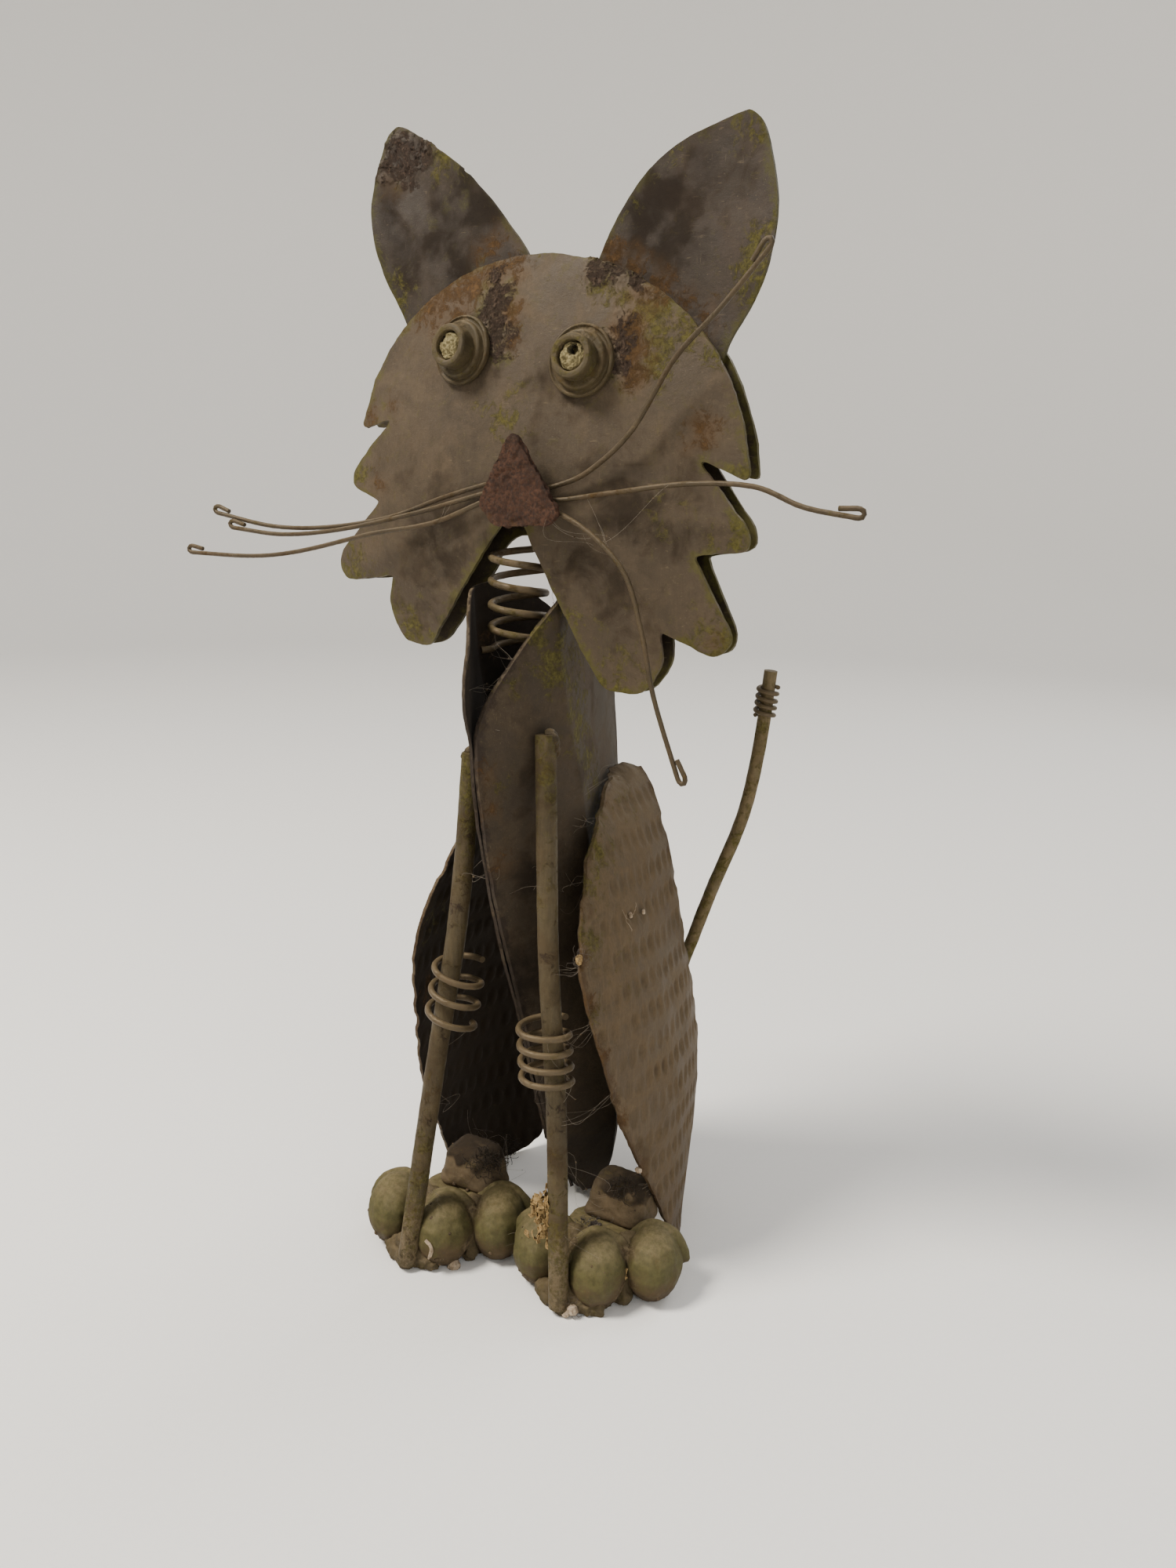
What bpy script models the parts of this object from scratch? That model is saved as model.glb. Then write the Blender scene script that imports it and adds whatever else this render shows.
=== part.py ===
"""Standing cat sculpture welded from scrap sheet, rod, wire and coil springs.

The cat looks along -Y and +X is its own left side. Metres, +Z up.
"""

import math

import bmesh
import bpy
from mathutils import Euler, Matrix, Vector

# Driving dimensions, written in millimetres and turned into metres here
MM = 0.001
GAP = 0.3 * MM

# Head: a domed face plate in front of a flat back plate
HEAD_CENTRE = Vector((6.4, -8.0, 361.9)) * MM
HEAD_YAW = math.radians(1.5)
HEAD_PITCH = math.radians(2.0)
HEAD_ROLL = math.radians(5.7)
PLATE = 1.6 * MM
DOME_RADIUS = 400.0 * MM
CROWN_HALF_WIDTH = 94.0 * MM
CROWN_HEIGHT = 81.0 * MM
CROWN_BASE = 2.0 * MM
MOUTH_TOP = -14.0 * MM
LOW_CHEEK_REACH = {-1: 109.0 * MM, 1: 97.0 * MM}
NOTCH_ROUND = 0.8 * MM
HEAD_TRIM_SPAN = (-25.0 * MM, 60.0 * MM)

# Ears
EAR_LENGTH = {-1: 82.0 * MM, 1: 83.0 * MM}
EAR_CURL = 5.0 * MM

# Eyes and nose
EYE_PLACES = ((-36.5 * MM, 43.3 * MM), (21.5 * MM, 43.6 * MM))
CUP_RADIUS = 14.2 * MM
CUP_HEIGHT = 5.0 * MM
TUBE_RADIUS = 8.6 * MM
TUBE_HEIGHT = 10.5 * MM
TUBE_BORE = 5.8 * MM
TUBE_BORE_DEPTH = 4.0 * MM
NOSE_PLACE = (7.0 * MM, -7.5 * MM)
NOSE_THICKNESS = 2.6 * MM
NOSE_STAND_OFF = 9.0 * MM
NOSE_STUB_RADIUS = 3.6 * MM

# Whiskers
WHISKER_RADIUS = 1.0 * MM
LOOP_RADIUS = 1.6 * MM
LOOP_RETURN = 7.0 * MM

# Neck spring
NECK_X = -1.0 * MM
NECK_OUTER = 13.0 * MM
NECK_WIRE = 1.5 * MM
NECK_PITCH = 9.7 * MM
NECK_BOTTOM = 289.0 * MM
NECK_TOP_BELOW_FACE = 31.5 * MM
NECK_BEHIND_FACE = 12.5 * MM
NECK_NOTCH_ROOM = 2.5 * MM

# Torso: two leaf-shaped side sheets that meet along the chest and the back
SHEET = 1.6 * MM
TORSO_BULGE = 20.0 * MM
CHEST_LAP = 5.0 * MM
TORSO_TRIM_SPAN = (-60.0 * MM, 60.0 * MM)
WELD_ROOM = 1.1 * MM

# Haunches: tall dished sheets that stand on the ground
HAUNCH_HEIGHT = 229.0 * MM
HAUNCH_FLARE = 50.0 * MM
HAUNCH_TRIM_BELOW = 8.0 * MM
HAUNCH_CONTACT_SHARE = 0.655
HAUNCH_DISH = 8.0 * MM
HAUNCH_TOP_ROOM = 2.6 * MM
HAUNCH_TRIM_SPAN = (-120.0 * MM, 120.0 * MM)
HAUNCH_SHIFT = {-1: -4.0 * MM, 1: 0.0}

# Front legs and their springs
LEG_RADIUS = 4.5 * MM
LEG_TOE = (-14.0 * MM, 14.5 * MM, 3.0 * MM)
ROD_SEAT_TOP = 70.0 * MM
ROD_SEAT_BELOW = 12.0 * MM
GROUND_CUT = (200.0 * MM, 200.0 * MM, 40.0 * MM)
LEG_SPRING_OUTER = 12.4 * MM
LEG_SPRING_WIRE = 1.45 * MM
LEG_SPRINGS = {-1: {"bottom": 119.0 * MM, "turns": 3.0, "pitch": 10.2 * MM},
               1: {"bottom": 104.0 * MM, "turns": 4.0, "pitch": 7.0 * MM}}

# Paws: three rounded toes in front of a flat heel, and an ankle block on the heel
PAW_PLACES = {-1: (-26.0 * MM, -14.5 * MM), 1: (50.5 * MM, -4.0 * MM)}
PAW_TURN = math.radians(18.0)
TOE_HALF = Vector((12.8, 17.0, 16.0)) * MM
TOE_CENTRE_HEIGHT = 14.5 * MM
TOE_ROOM = 0.45 * MM
TOE_PLACES = ((-28.0 * MM, 11.5 * MM), (0.0, 0.0), (23.5 * MM, 11.5 * MM))
HEEL_RADIUS = 23.0 * MM
HEEL_HEIGHT = 21.0 * MM
HEEL_BACK = 24.0 * MM
HEEL_SIDE = {-1: 2.0 * MM, 1: 0.0}
HEEL_TAPER = 0.86
ANKLE_TOP = 42.0 * MM
ANKLE_WAIST = 28.0 * MM
ANKLE_SET_BACK = {-1: 8.0 * MM, 1: 11.0 * MM}
ANKLE_CLEARS_TOE = {-1: True, 1: False}
ANKLE_DEPTH = 22.0 * MM
ANKLE_INNER = {-1: 13.5 * MM, 1: 27.0 * MM}
ANKLE_OUTER = {-1: 47.0 * MM, 1: 62.0 * MM}
ANKLE_TAPER = 5.0 * MM
ANKLE_ROUND = 3.0 * MM

# Tail
TAIL_RADIUS = 3.1 * MM
TAIL_SPRING_WIRE = 1.0 * MM
TAIL_SPRING_PITCH = 3.3 * MM
TAIL_SPRING_TURNS = 4.5
TAIL_SPRING_BELOW_TIP = 7.0 * MM


# Helpers for scene objects

def clear_scene():
    for obj in list(bpy.data.objects):
        bpy.data.objects.remove(obj, do_unlink=True)


def new_collection(name):
    collection = bpy.data.collections.new(name)
    bpy.context.scene.collection.children.link(collection)
    return collection


def make_material(name, colour, roughness, metallic):
    material = bpy.data.materials.new(name)
    material.use_nodes = True
    shader = material.node_tree.nodes["Principled BSDF"]
    shader.inputs["Base Color"].default_value = (*colour, 1.0)
    shader.inputs["Roughness"].default_value = roughness
    shader.inputs["Metallic"].default_value = metallic
    return material


def add_object(name, mesh, material, parent):
    obj = bpy.data.objects.new(name, mesh)
    PARTS.objects.link(obj)
    mesh.materials.append(material)
    obj.parent = parent
    return obj


def add_cutter(name, mesh, parent):
    obj = bpy.data.objects.new(name, mesh)
    CUTTERS.objects.link(obj)
    obj.hide_render = True
    obj.display_type = "WIRE"
    obj.parent = parent
    return obj


def add_boolean(obj, cutter, operation):
    modifier = obj.modifiers.new(cutter.name, "BOOLEAN")
    modifier.operation = operation
    modifier.object = cutter


def mesh_from(name, build, smooth_angle=math.radians(35.0)):
    work = bmesh.new()
    build(work)
    bmesh.ops.recalc_face_normals(work, faces=work.faces)
    mesh = bpy.data.meshes.new(name)
    work.to_mesh(mesh)
    work.free()
    mesh.shade_smooth()
    mesh.set_sharp_from_angle(angle=smooth_angle)
    return mesh


# Helpers for outlines and paths

def smooth_path(points, steps, closed=False):
    """Catmull-Rom curve through the given points."""
    points = [Vector(point) for point in points]
    count = len(points)
    spans = count if closed else count - 1
    result = []
    for span in range(spans):
        if closed:
            a, b, c, d = (points[(span + k) % count] for k in (-1, 0, 1, 2))
        else:
            b, c = points[span], points[span + 1]
            a = points[span - 1] if span else b * 2.0 - c
            d = points[span + 2] if span + 2 < count else c * 2.0 - b
        for step in range(steps):
            t = step / steps
            result.append(0.5 * (2.0 * b + (c - a) * t + (2.0 * a - 5.0 * b + 4.0 * c - d) * t ** 2
                                 + (3.0 * b - a - 3.0 * c + d) * t ** 3))
    if not closed:
        result.append(points[-1])
    return result


def rounded_outline(corners, steps=3):
    """Closed outline whose corners (x, z, radius) are turned into arcs."""
    result = []
    count = len(corners)
    for index in range(count):
        corner = Vector(corners[index][:2])
        before = Vector(corners[index - 1][:2]) - corner
        after = Vector(corners[(index + 1) % count][:2]) - corner
        half = before.angle(after) / 2.0
        reach = corners[index][2] / math.tan(half)
        reach = min(reach, 0.48 * before.length, 0.48 * after.length)
        radius = reach * math.tan(half)
        if radius < 0.1 * MM:
            result.append(corner)
            continue
        centre = corner + (before.normalized() + after.normalized()).normalized() * radius / math.sin(half)
        start = corner + before.normalized() * reach - centre
        finish = corner + after.normalized() * reach - centre
        for step in range(steps + 1):
            blend = start.slerp(finish, step / steps)
            result.append(centre + blend.normalized() * radius)
    return result


def value_at(table, key):
    """Straight-line reading of a rising table of (key, value) pairs."""
    if key <= table[0][0]:
        return table[0][1]
    for (low, first), (high, second) in zip(table, table[1:]):
        if key <= high:
            return first + (second - first) * (key - low) / (high - low)
    return table[-1][1]


def prism_mesh(name, outline, axis, low, high):
    """Closed prism of a flat outline: axis "Y" takes (x, z) points, axis "X" takes (y, z)."""
    def build(work):
        if axis == "Y":
            points = [Vector((u, low, v)) for u, v in outline]
            sweep = Vector((0.0, high - low, 0.0))
        else:
            points = [Vector((low, u, v)) for u, v in outline]
            sweep = Vector((high - low, 0.0, 0.0))
        face = work.faces.new([work.verts.new(point) for point in points])
        swept = bmesh.ops.extrude_face_region(work, geom=[face])
        moved = [item for item in swept["geom"] if isinstance(item, bmesh.types.BMVert)]
        bmesh.ops.translate(work, verts=moved, vec=sweep)
    return mesh_from(name, build)


def sheet_grid(name, surface, columns, rows):
    """Open grid of surface(u, v) for u and v from 0 to 1."""
    work = bmesh.new()
    grid = [[work.verts.new(surface(column / columns, row / rows)) for column in range(columns + 1)]
            for row in range(rows + 1)]
    for row in range(rows):
        for column in range(columns):
            work.faces.new((grid[row][column], grid[row][column + 1],
                            grid[row + 1][column + 1], grid[row + 1][column]))
    mesh = bpy.data.meshes.new(name)
    work.to_mesh(mesh)
    work.free()
    mesh.shade_smooth()
    return mesh


def add_sheet(name, surface, columns, rows, thickness, offset, outline, axis, span, material, parent):
    """Formed sheet: a grid given its thickness, then trimmed to its outline."""
    obj = add_object(name, sheet_grid(name, surface, columns, rows), material, parent)
    solid = obj.modifiers.new("thickness", "SOLIDIFY")
    solid.thickness = thickness
    solid.offset = offset
    solid.use_even_offset = True
    trim = add_cutter(name + "_trim", prism_mesh(name + "_trim", outline, axis, *span), parent)
    add_boolean(obj, trim, "INTERSECT")
    return obj


def add_wire(name, points, radius, material, parent, sides_step=1):
    """Round wire or rod along a list of points, with closed ends."""
    curve = bpy.data.curves.new(name, "CURVE")
    curve.dimensions = "3D"
    curve.bevel_depth = radius
    curve.bevel_resolution = sides_step
    curve.use_fill_caps = True
    spline = curve.splines.new("POLY")
    spline.points.add(len(points) - 1)
    for target, point in zip(spline.points, points):
        target.co = (*point, 1.0)
    return add_object(name, curve, material, parent)


def coil_points(foot, axis, coil_radius, pitch, turns, start_angle=0.0, steps_per_turn=9):
    """Helix around a straight axis that starts at foot."""
    axis = axis.normalized()
    side = axis.cross(Vector((0.0, 1.0, 0.0))).normalized()
    front = side.cross(axis)
    count = round(turns * steps_per_turn)
    points = []
    for step in range(count + 1):
        angle = start_angle + 2.0 * math.pi * step / steps_per_turn
        rise = axis * (pitch * step / steps_per_turn)
        points.append(foot + rise + (side * math.cos(angle) + front * math.sin(angle)) * coil_radius)
    return points


def turned_mesh(name, profile, segments):
    """Closed solid turned around the local Z axis from an (r, z) profile."""
    def build(work):
        verts = [work.verts.new((radius, 0.0, height)) for radius, height in profile]
        edges = [work.edges.new(pair) for pair in zip(verts, verts[1:])]
        bmesh.ops.spin(work, geom=verts + edges, cent=(0, 0, 0), axis=(0, 0, 1),
                       angle=2.0 * math.pi, steps=segments, use_duplicate=False)
        bmesh.ops.remove_doubles(work, verts=work.verts, dist=0.01 * MM)
    return mesh_from(name, build)


# Head

def dome(x, z):
    """Depth of the face plate's front surface behind its middle."""
    return DOME_RADIUS - math.sqrt(DOME_RADIUS ** 2 - x * x - z * z)


def cheek_corners(side):
    """Lobed cheek from the end of the crown down to the chin, as (x, z, radius)."""
    reach = LOW_CHEEK_REACH[side]
    lobes = ((96.0, 6.5, 3.5), (73.0, 14.0, 0.8), (94.0, -6.5, 9.0), (101.0, -17.0, 6.0),
             (78.0, -22.0, 0.8), (reach / MM, -51.0, 8.0), (reach / MM - 5.0, -61.0, 6.5),
             (67.5, -53.0, 0.8), (70.0, -66.0, 8.0), (62.0, -80.5, 9.0), (45.0, -81.0, 8.0))
    return [(side * x * MM, z * MM, radius * MM) for x, z, radius in lobes]


def crown_corners():
    """Round top of the head from the right-hand side to the left-hand side."""
    first, last, count = math.radians(9.0), math.radians(171.0), 16
    corners = []
    for step in range(count + 1):
        angle = first + (last - first) * step / count
        up = CROWN_BASE + CROWN_HEIGHT * math.sin(angle)
        corners.append((CROWN_HALF_WIDTH * math.cos(angle), up, 0.0))
    return corners


def face_outline():
    mouth = [(-1.0 * MM, MOUTH_TOP, NOTCH_ROUND)]
    corners = crown_corners() + cheek_corners(-1) + mouth + cheek_corners(1)[::-1]
    return rounded_outline(corners)


def back_outline(neck_x, neck_z):
    """Same outline, with a round-topped notch that fits over the neck spring."""
    radius = NECK_OUTER + NECK_NOTCH_ROOM
    arch = []
    for step in range(9):
        angle = math.pi - math.pi * step / 8
        arch.append((neck_x + radius * math.cos(angle), neck_z + radius * math.sin(angle), 0.0))
    corners = crown_corners() + cheek_corners(-1) + arch + cheek_corners(1)[::-1]
    return rounded_outline(corners)


def plate_surface(depth_at):
    half_width = max(LOW_CHEEK_REACH.values()) + 8.0 * MM
    low, high = -90.0 * MM, 92.0 * MM

    def surface(u, v):
        x = -half_width + 2.0 * half_width * u
        z = low + (high - low) * v
        return Vector((x, depth_at(x, z), z))
    return surface


def back_plate_depth():
    """Front face of the flat back plate, which just clears the face plate's farthest lobe."""
    farthest = max(dome(x, z) for x, z in face_outline())
    return farthest + PLATE + GAP


def build_head_plates(head, neck_x, neck_z):
    add_sheet("face_plate", plate_surface(dome), 12, 10, PLATE, -1.0, face_outline(), "Y",
              HEAD_TRIM_SPAN, MATERIALS["sheet"], head)
    depth = back_plate_depth()
    outline = back_outline(neck_x, neck_z)
    add_object("head_back_plate", prism_mesh("head_back_plate", outline, "Y", depth, depth + PLATE),
               MATERIALS["sheet_dark"], head)


EAR_SHAPES = {
    -1: {"base": (-49.0, 58.0), "tip": (-95.0, 131.0),
         "outline": ((-70.0, 36.0), (-78.0, 49.0), (-94.0, 72.0), (-103.0, 99.0), (-101.0, 122.0),
                     (-95.0, 131.5), (-81.0, 127.0), (-54.0, 114.0), (-31.0, 94.0), (-18.0, 72.0))},
    1: {"base": (42.0, 64.0), "tip": (72.0, 134.0),
        "outline": ((14.0, 66.0), (14.5, 86.0), (24.0, 105.0), (39.0, 121.0), (60.0, 131.5),
                    (72.5, 134.5), (79.0, 124.0), (86.5, 104.0), (86.0, 82.0), (74.0, 57.0),
                    (66.0, 42.0))}}


def build_ear(side, head):
    shape = EAR_SHAPES[side]
    base = Vector(shape["base"]) * MM
    along = (Vector(shape["tip"]) * MM - base).normalized()
    across = Vector((along.y, -along.x))
    front = back_plate_depth() - GAP - PLATE
    length = EAR_LENGTH[side]
    outline = [base + (Vector(point) * MM - base) * (length / (82.5 * MM)) for point in shape["outline"]]
    outline = smooth_path(outline, 3, closed=True)

    def surface(u, v):
        sideways = (u - 0.5) * 96.0 * MM
        forward = (-0.45 + 1.55 * v) * length
        x, z = base + across * sideways + along * forward
        rise = min(1.0, max(0.0, (forward - 0.25 * length) / (0.5 * length)))
        return Vector((x, front - EAR_CURL * rise * (sideways / (30.0 * MM)) ** 2, z))

    name = "ear_left" if side == 1 else "ear_right"
    add_sheet(name, surface, 8, 9, PLATE, -1.0, outline, "Y", HEAD_TRIM_SPAN,
              MATERIALS["ear"], head)


def on_face(x, z, lift):
    """Placement on the face plate: local +Z points straight out of the dome."""
    centre = Vector((0.0, DOME_RADIUS, 0.0))
    point = Vector((x, dome(x, z), z))
    outward = (point - centre).normalized()
    turn = Vector((0.0, 0.0, 1.0)).rotation_difference(outward).to_matrix().to_4x4()
    return Matrix.Translation(point + outward * lift) @ turn


def build_eyes(head):
    seat = GAP + CUP_RADIUS ** 2 / (2.0 * DOME_RADIUS)
    for name, (x, z) in zip(("right", "left"), EYE_PLACES):
        inner = TUBE_RADIUS + GAP
        cup_profile = ((inner, 0.0), (CUP_RADIUS, 0.0), (CUP_RADIUS, 0.55 * CUP_HEIGHT),
                       (CUP_RADIUS - 1.2 * MM, CUP_HEIGHT), (inner + 1.2 * MM, CUP_HEIGHT),
                       (inner, 0.8 * CUP_HEIGHT), (inner, 0.0))
        cup = add_object("eye_cup_" + name, turned_mesh("eye_cup", cup_profile, 16),
                         MATERIALS["moss_metal"], head)
        cup.matrix_local = on_face(x, z, seat)
        tube_profile = ((0.0, 0.0), (TUBE_RADIUS, 0.0), (TUBE_RADIUS, TUBE_HEIGHT - 1.0 * MM),
                        (TUBE_RADIUS - 1.0 * MM, TUBE_HEIGHT), (TUBE_BORE, TUBE_HEIGHT),
                        (TUBE_BORE, TUBE_HEIGHT - TUBE_BORE_DEPTH), (0.0, TUBE_HEIGHT - TUBE_BORE_DEPTH))
        tube = add_object("eye_tube_" + name, turned_mesh("eye_tube", tube_profile, 14),
                          MATERIALS["moss_metal"], head)
        tube.matrix_local = on_face(x, z, seat)


def build_nose(head):
    x, z = NOSE_PLACE
    corners = ((-6.0, 24.0, 3.0), (21.0, -6.0, 5.0), (17.0, -10.5, 4.0), (-8.5, -15.0, 4.5),
               (-17.5, -8.0, 4.0))
    outline = rounded_outline([(u * MM, v * MM, radius * MM) for u, v, radius in corners])
    seat = GAP + NOSE_STUB_RADIUS ** 2 / (2.0 * DOME_RADIUS)
    stub_profile = ((0.0, 0.0), (NOSE_STUB_RADIUS, 0.0), (NOSE_STUB_RADIUS, NOSE_STAND_OFF - seat - GAP),
                    (0.0, NOSE_STAND_OFF - seat - GAP))
    stub = add_object("nose_stub", turned_mesh("nose_stub", stub_profile, 12), MATERIALS["rust"], head)
    stub.matrix_local = on_face(x, z, seat)
    plate = prism_mesh("nose", outline, "Y", -NOSE_THICKNESS, 0.0)
    nose = add_object("nose", plate, MATERIALS["rust"], head)
    outward = Matrix.Rotation(math.radians(-90.0), 4, "X")
    nose.matrix_local = on_face(x, z, NOSE_STAND_OFF) @ outward


WHISKERS = {
    "whisker_right_top": (-2.6, ((-9.0, -6.0), (-34.0, -15.0), (-62.0, -27.0), (-96.0, -36.0),
                                 (-130.0, -40.5), (-166.0, -39.5))),
    "whisker_right_middle": (-4.8, ((-10.0, -10.0), (-46.0, -23.0), (-88.0, -36.0),
                                    (-122.0, -43.0), (-153.0, -44.5))),
    "whisker_right_low": (-7.0, ((-11.0, -14.0), (-36.0, -26.0), (-68.0, -35.0), (-107.0, -48.0),
                                 (-137.0, -55.0), (-177.0, -59.5))),
    "whisker_left_top": (-2.6, ((19.0, -4.0), (33.0, 3.0), (50.0, 20.0), (64.0, 47.0),
                                (80.0, 66.0), (95.0, 86.0))),
    "whisker_left_middle": (-4.8, ((22.0, -9.0), (47.0, -3.0), (77.0, 4.0), (104.0, 6.5),
                                   (124.0, 2.0), (144.0, 1.0))),
    "whisker_left_low": (-7.0, ((20.0, -12.0), (40.0, -19.0), (58.0, -32.0), (69.0, -53.0),
                                (78.0, -76.0), (93.0, -104.0)))}


def build_whiskers(head):
    hub = Vector(NOSE_PLACE)
    for name, (depth, route) in WHISKERS.items():
        route = [Vector(point) * MM for point in route]
        start = hub + (route[0] - hub).normalized() * (NOSE_STUB_RADIUS + GAP + WHISKER_RADIUS * 1.05)
        flat = smooth_path([start] + route, 2)
        ahead = (flat[-1] - flat[-2]).normalized()
        turn_to = Vector((-ahead.y, ahead.x))
        if "right" in name:
            turn_to = -turn_to
        for step in range(1, 4):
            angle = math.pi * step / 3
            flat.append(route[-1] + turn_to * LOOP_RADIUS * (1.0 - math.cos(angle))
                        + ahead * LOOP_RADIUS * 1.6 * math.sin(angle))
        flat.append(flat[-1] - ahead * LOOP_RETURN)
        points = [Vector((x, depth * MM, z)) for x, z in flat]
        add_wire(name, points, WHISKER_RADIUS, MATERIALS["wire"], head)


# Neck and torso

CHEST_LINE = [(z * MM, y * MM) for z, y in (
    (4.0, 63.0), (20.0, 50.0), (46.0, 34.0), (72.0, 25.0), (122.0, 7.0), (159.0, -8.0),
    (204.0, -22.0), (228.0, -27.5), (255.0, -31.0), (325.0, -32.0))]
MIDRIB_LINE = [(z * MM, y * MM) for z, y in (
    (4.0, 72.0), (60.0, 64.0), (150.0, 44.0), (235.0, 19.0), (266.0, 6.0), (313.0, -2.0), (325.0, -3.0))]
BACK_LINE = [(z * MM, y * MM) for z, y in (
    (4.0, 80.0), (24.0, 97.0), (60.0, 106.0), (110.0, 107.0), (160.0, 102.0), (225.0, 90.0),
    (262.0, 83.0), (325.0, 80.0))]
CRESTS = {
    1: ((-31.0, 256.0), (-28.0, 268.0), (-22.0, 280.0), (-14.0, 292.0), (-6.0, 304.0), (0.0, 311.0),
        (8.0, 307.0), (28.0, 298.0), (54.0, 287.0), (72.0, 274.0)),
    -1: ((-35.0, 262.0), (-36.0, 278.0), (-31.0, 292.0), (-21.0, 304.0), (-8.0, 312.0), (8.0, 316.0),
         (30.0, 311.0), (54.0, 296.0), (72.0, 278.0))}


def torso_outline(side):
    """Side view of one sheet as (y, z): chest edge up, over the crest, down the back."""
    crest = [Vector(point) * MM for point in CRESTS[side]]
    chest = [Vector((y, z)) for z, y in CHEST_LINE if z < crest[0].y - 6.0 * MM]
    back = [Vector((y, z)) for z, y in reversed(BACK_LINE) if z < crest[-1].y - 6.0 * MM]
    return chest + smooth_path(crest, 2) + back


def torso_inner(y, z):
    """Half width of the hollow torso at a point of its side view."""
    chest, midrib, back = (value_at(line, z) for line in (CHEST_LINE, MIDRIB_LINE, BACK_LINE))
    width = TORSO_BULGE * min(1.0, (back - chest) / (75.0 * MM)) ** 0.7
    if y <= chest or y >= back:
        return 0.0
    if y < midrib:
        return width * ((y - chest) / (midrib - chest)) ** 0.85
    return width * ((back - y) / (back - midrib)) ** 0.8


def torso_surface(side):
    heights = [height * MM for height in
               (2, 12, 24, 46, 72, 98, 122, 159, 190, 215, 235, 255, 280, 305, 322)]
    shares = (-0.3, 0.0, 0.33, 0.66, 1.0, 1.25, 1.5, 1.75, 2.0, 2.1)

    def surface(u, v):
        z = heights[round(v * (len(heights) - 1))]
        share = shares[round(u * (len(shares) - 1))]
        chest, midrib, back = (value_at(line, z) for line in (CHEST_LINE, MIDRIB_LINE, BACK_LINE))
        y = chest + share * (midrib - chest) if share < 1.0 else midrib + (share - 1.0) * (back - midrib)
        if share < 0.0:
            y = chest - CHEST_LAP * 1.4
        return Vector((side * (torso_inner(y, z) + GAP / 2.0), y, z))
    return surface, len(shares) - 1, len(heights) - 1


def build_torso(body):
    for side, name in ((1, "torso_left"), (-1, "torso_right")):
        surface, columns, rows = torso_surface(side)
        add_sheet(name, surface, columns, rows, SHEET, float(side), torso_outline(side), "X",
                  TORSO_TRIM_SPAN, MATERIALS["sheet"], body)


def build_neck(body, foot, top):
    """Coil that rises to the mouth notch, with its lower end straight against the right sheet."""
    points = coil_points(foot, top - foot, NECK_OUTER - NECK_WIRE, NECK_PITCH,
                         (top - foot).length / NECK_PITCH)
    end = Vector((0.0, foot.y - 0.85 * NECK_OUTER, foot.z - 0.5 * NECK_WIRE))
    end.x = -(torso_inner(end.y, end.z) - 1.3 * NECK_WIRE - 1.5 * GAP)
    add_wire("neck_spring", [end] + points, NECK_WIRE, MATERIALS["spring"], body)


# Haunches

HAUNCH_FRONT = [(z * MM, y * MM) for z, y in (
    (0.0, 52.0), (14.0, 44.0), (43.0, 28.0), (80.0, 9.0), (128.0, -6.0), (158.0, -9.0),
    (180.0, -4.0), (196.0, 4.0), (215.0, 16.0), (240.0, 34.0))]
HAUNCH_BACK = [(z * MM, y * MM) for z, y in (
    (0.0, 97.0), (16.0, 106.0), (50.0, 109.0), (92.0, 103.0), (117.0, 97.0), (140.0, 90.0),
    (178.0, 83.0), (240.0, 82.0))]
HAUNCH_TURN_IN = [(z * MM, x * MM) for z, x in (
    (0.0, 25.0), (16.0, 22.0), (50.0, 14.0), (92.0, 8.0), (140.0, 3.0), (180.0, 0.0))]
HAUNCH_SHAPE = ((74.0, 229.0), (42.0, 224.0), (8.0, 198.0), (-9.0, 158.0), (-6.0, 128.0), (9.0, 80.0),
                (28.0, 43.0), (43.0, 15.0), (56.0, 1.0), (74.0, 0.0), (94.0, 4.0), (106.0, 20.0),
                (109.0, 52.0), (103.0, 92.0), (90.0, 140.0), (82.0, 190.0), (82.0, 220.0))


def haunch_outline(side):
    shift = HAUNCH_SHIFT[side]
    points = smooth_path([Vector(point) * MM for point in HAUNCH_SHAPE], 2, closed=True)
    return [Vector((point.x + shift, max(0.0, point.y))) for point in points]


def haunch_shape(y, z, side):
    """Outward bulge of the haunch, before it is set against the torso."""
    height = min(1.0, max(0.0, z / HAUNCH_HEIGHT))
    front, back = value_at(HAUNCH_FRONT, z), value_at(HAUNCH_BACK, z)
    share = (y - HAUNCH_SHIFT[side] - front) / (back - front)
    dish = 4.0 * share * (1.0 - share) * math.sin(math.pi * min(1.0, max(0.05, height)) ** 0.8)
    return (HAUNCH_FLARE * math.sqrt(1.0 - height) + HAUNCH_DISH * dish
            - value_at(HAUNCH_TURN_IN, z) * share)


def haunch_seat(side):
    """Distance out from the middle at which the haunch's rim just touches the torso."""
    need = [torso_inner(y, z) + SHEET + HAUNCH_TOP_ROOM - haunch_shape(y, z, side)
            for y, z in haunch_outline(side) if z > HAUNCH_HEIGHT * HAUNCH_CONTACT_SHARE]
    return max(need) + GAP


def haunch_inner(y, z, side):
    return haunch_seat(side) + haunch_shape(y, z, side)


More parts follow.
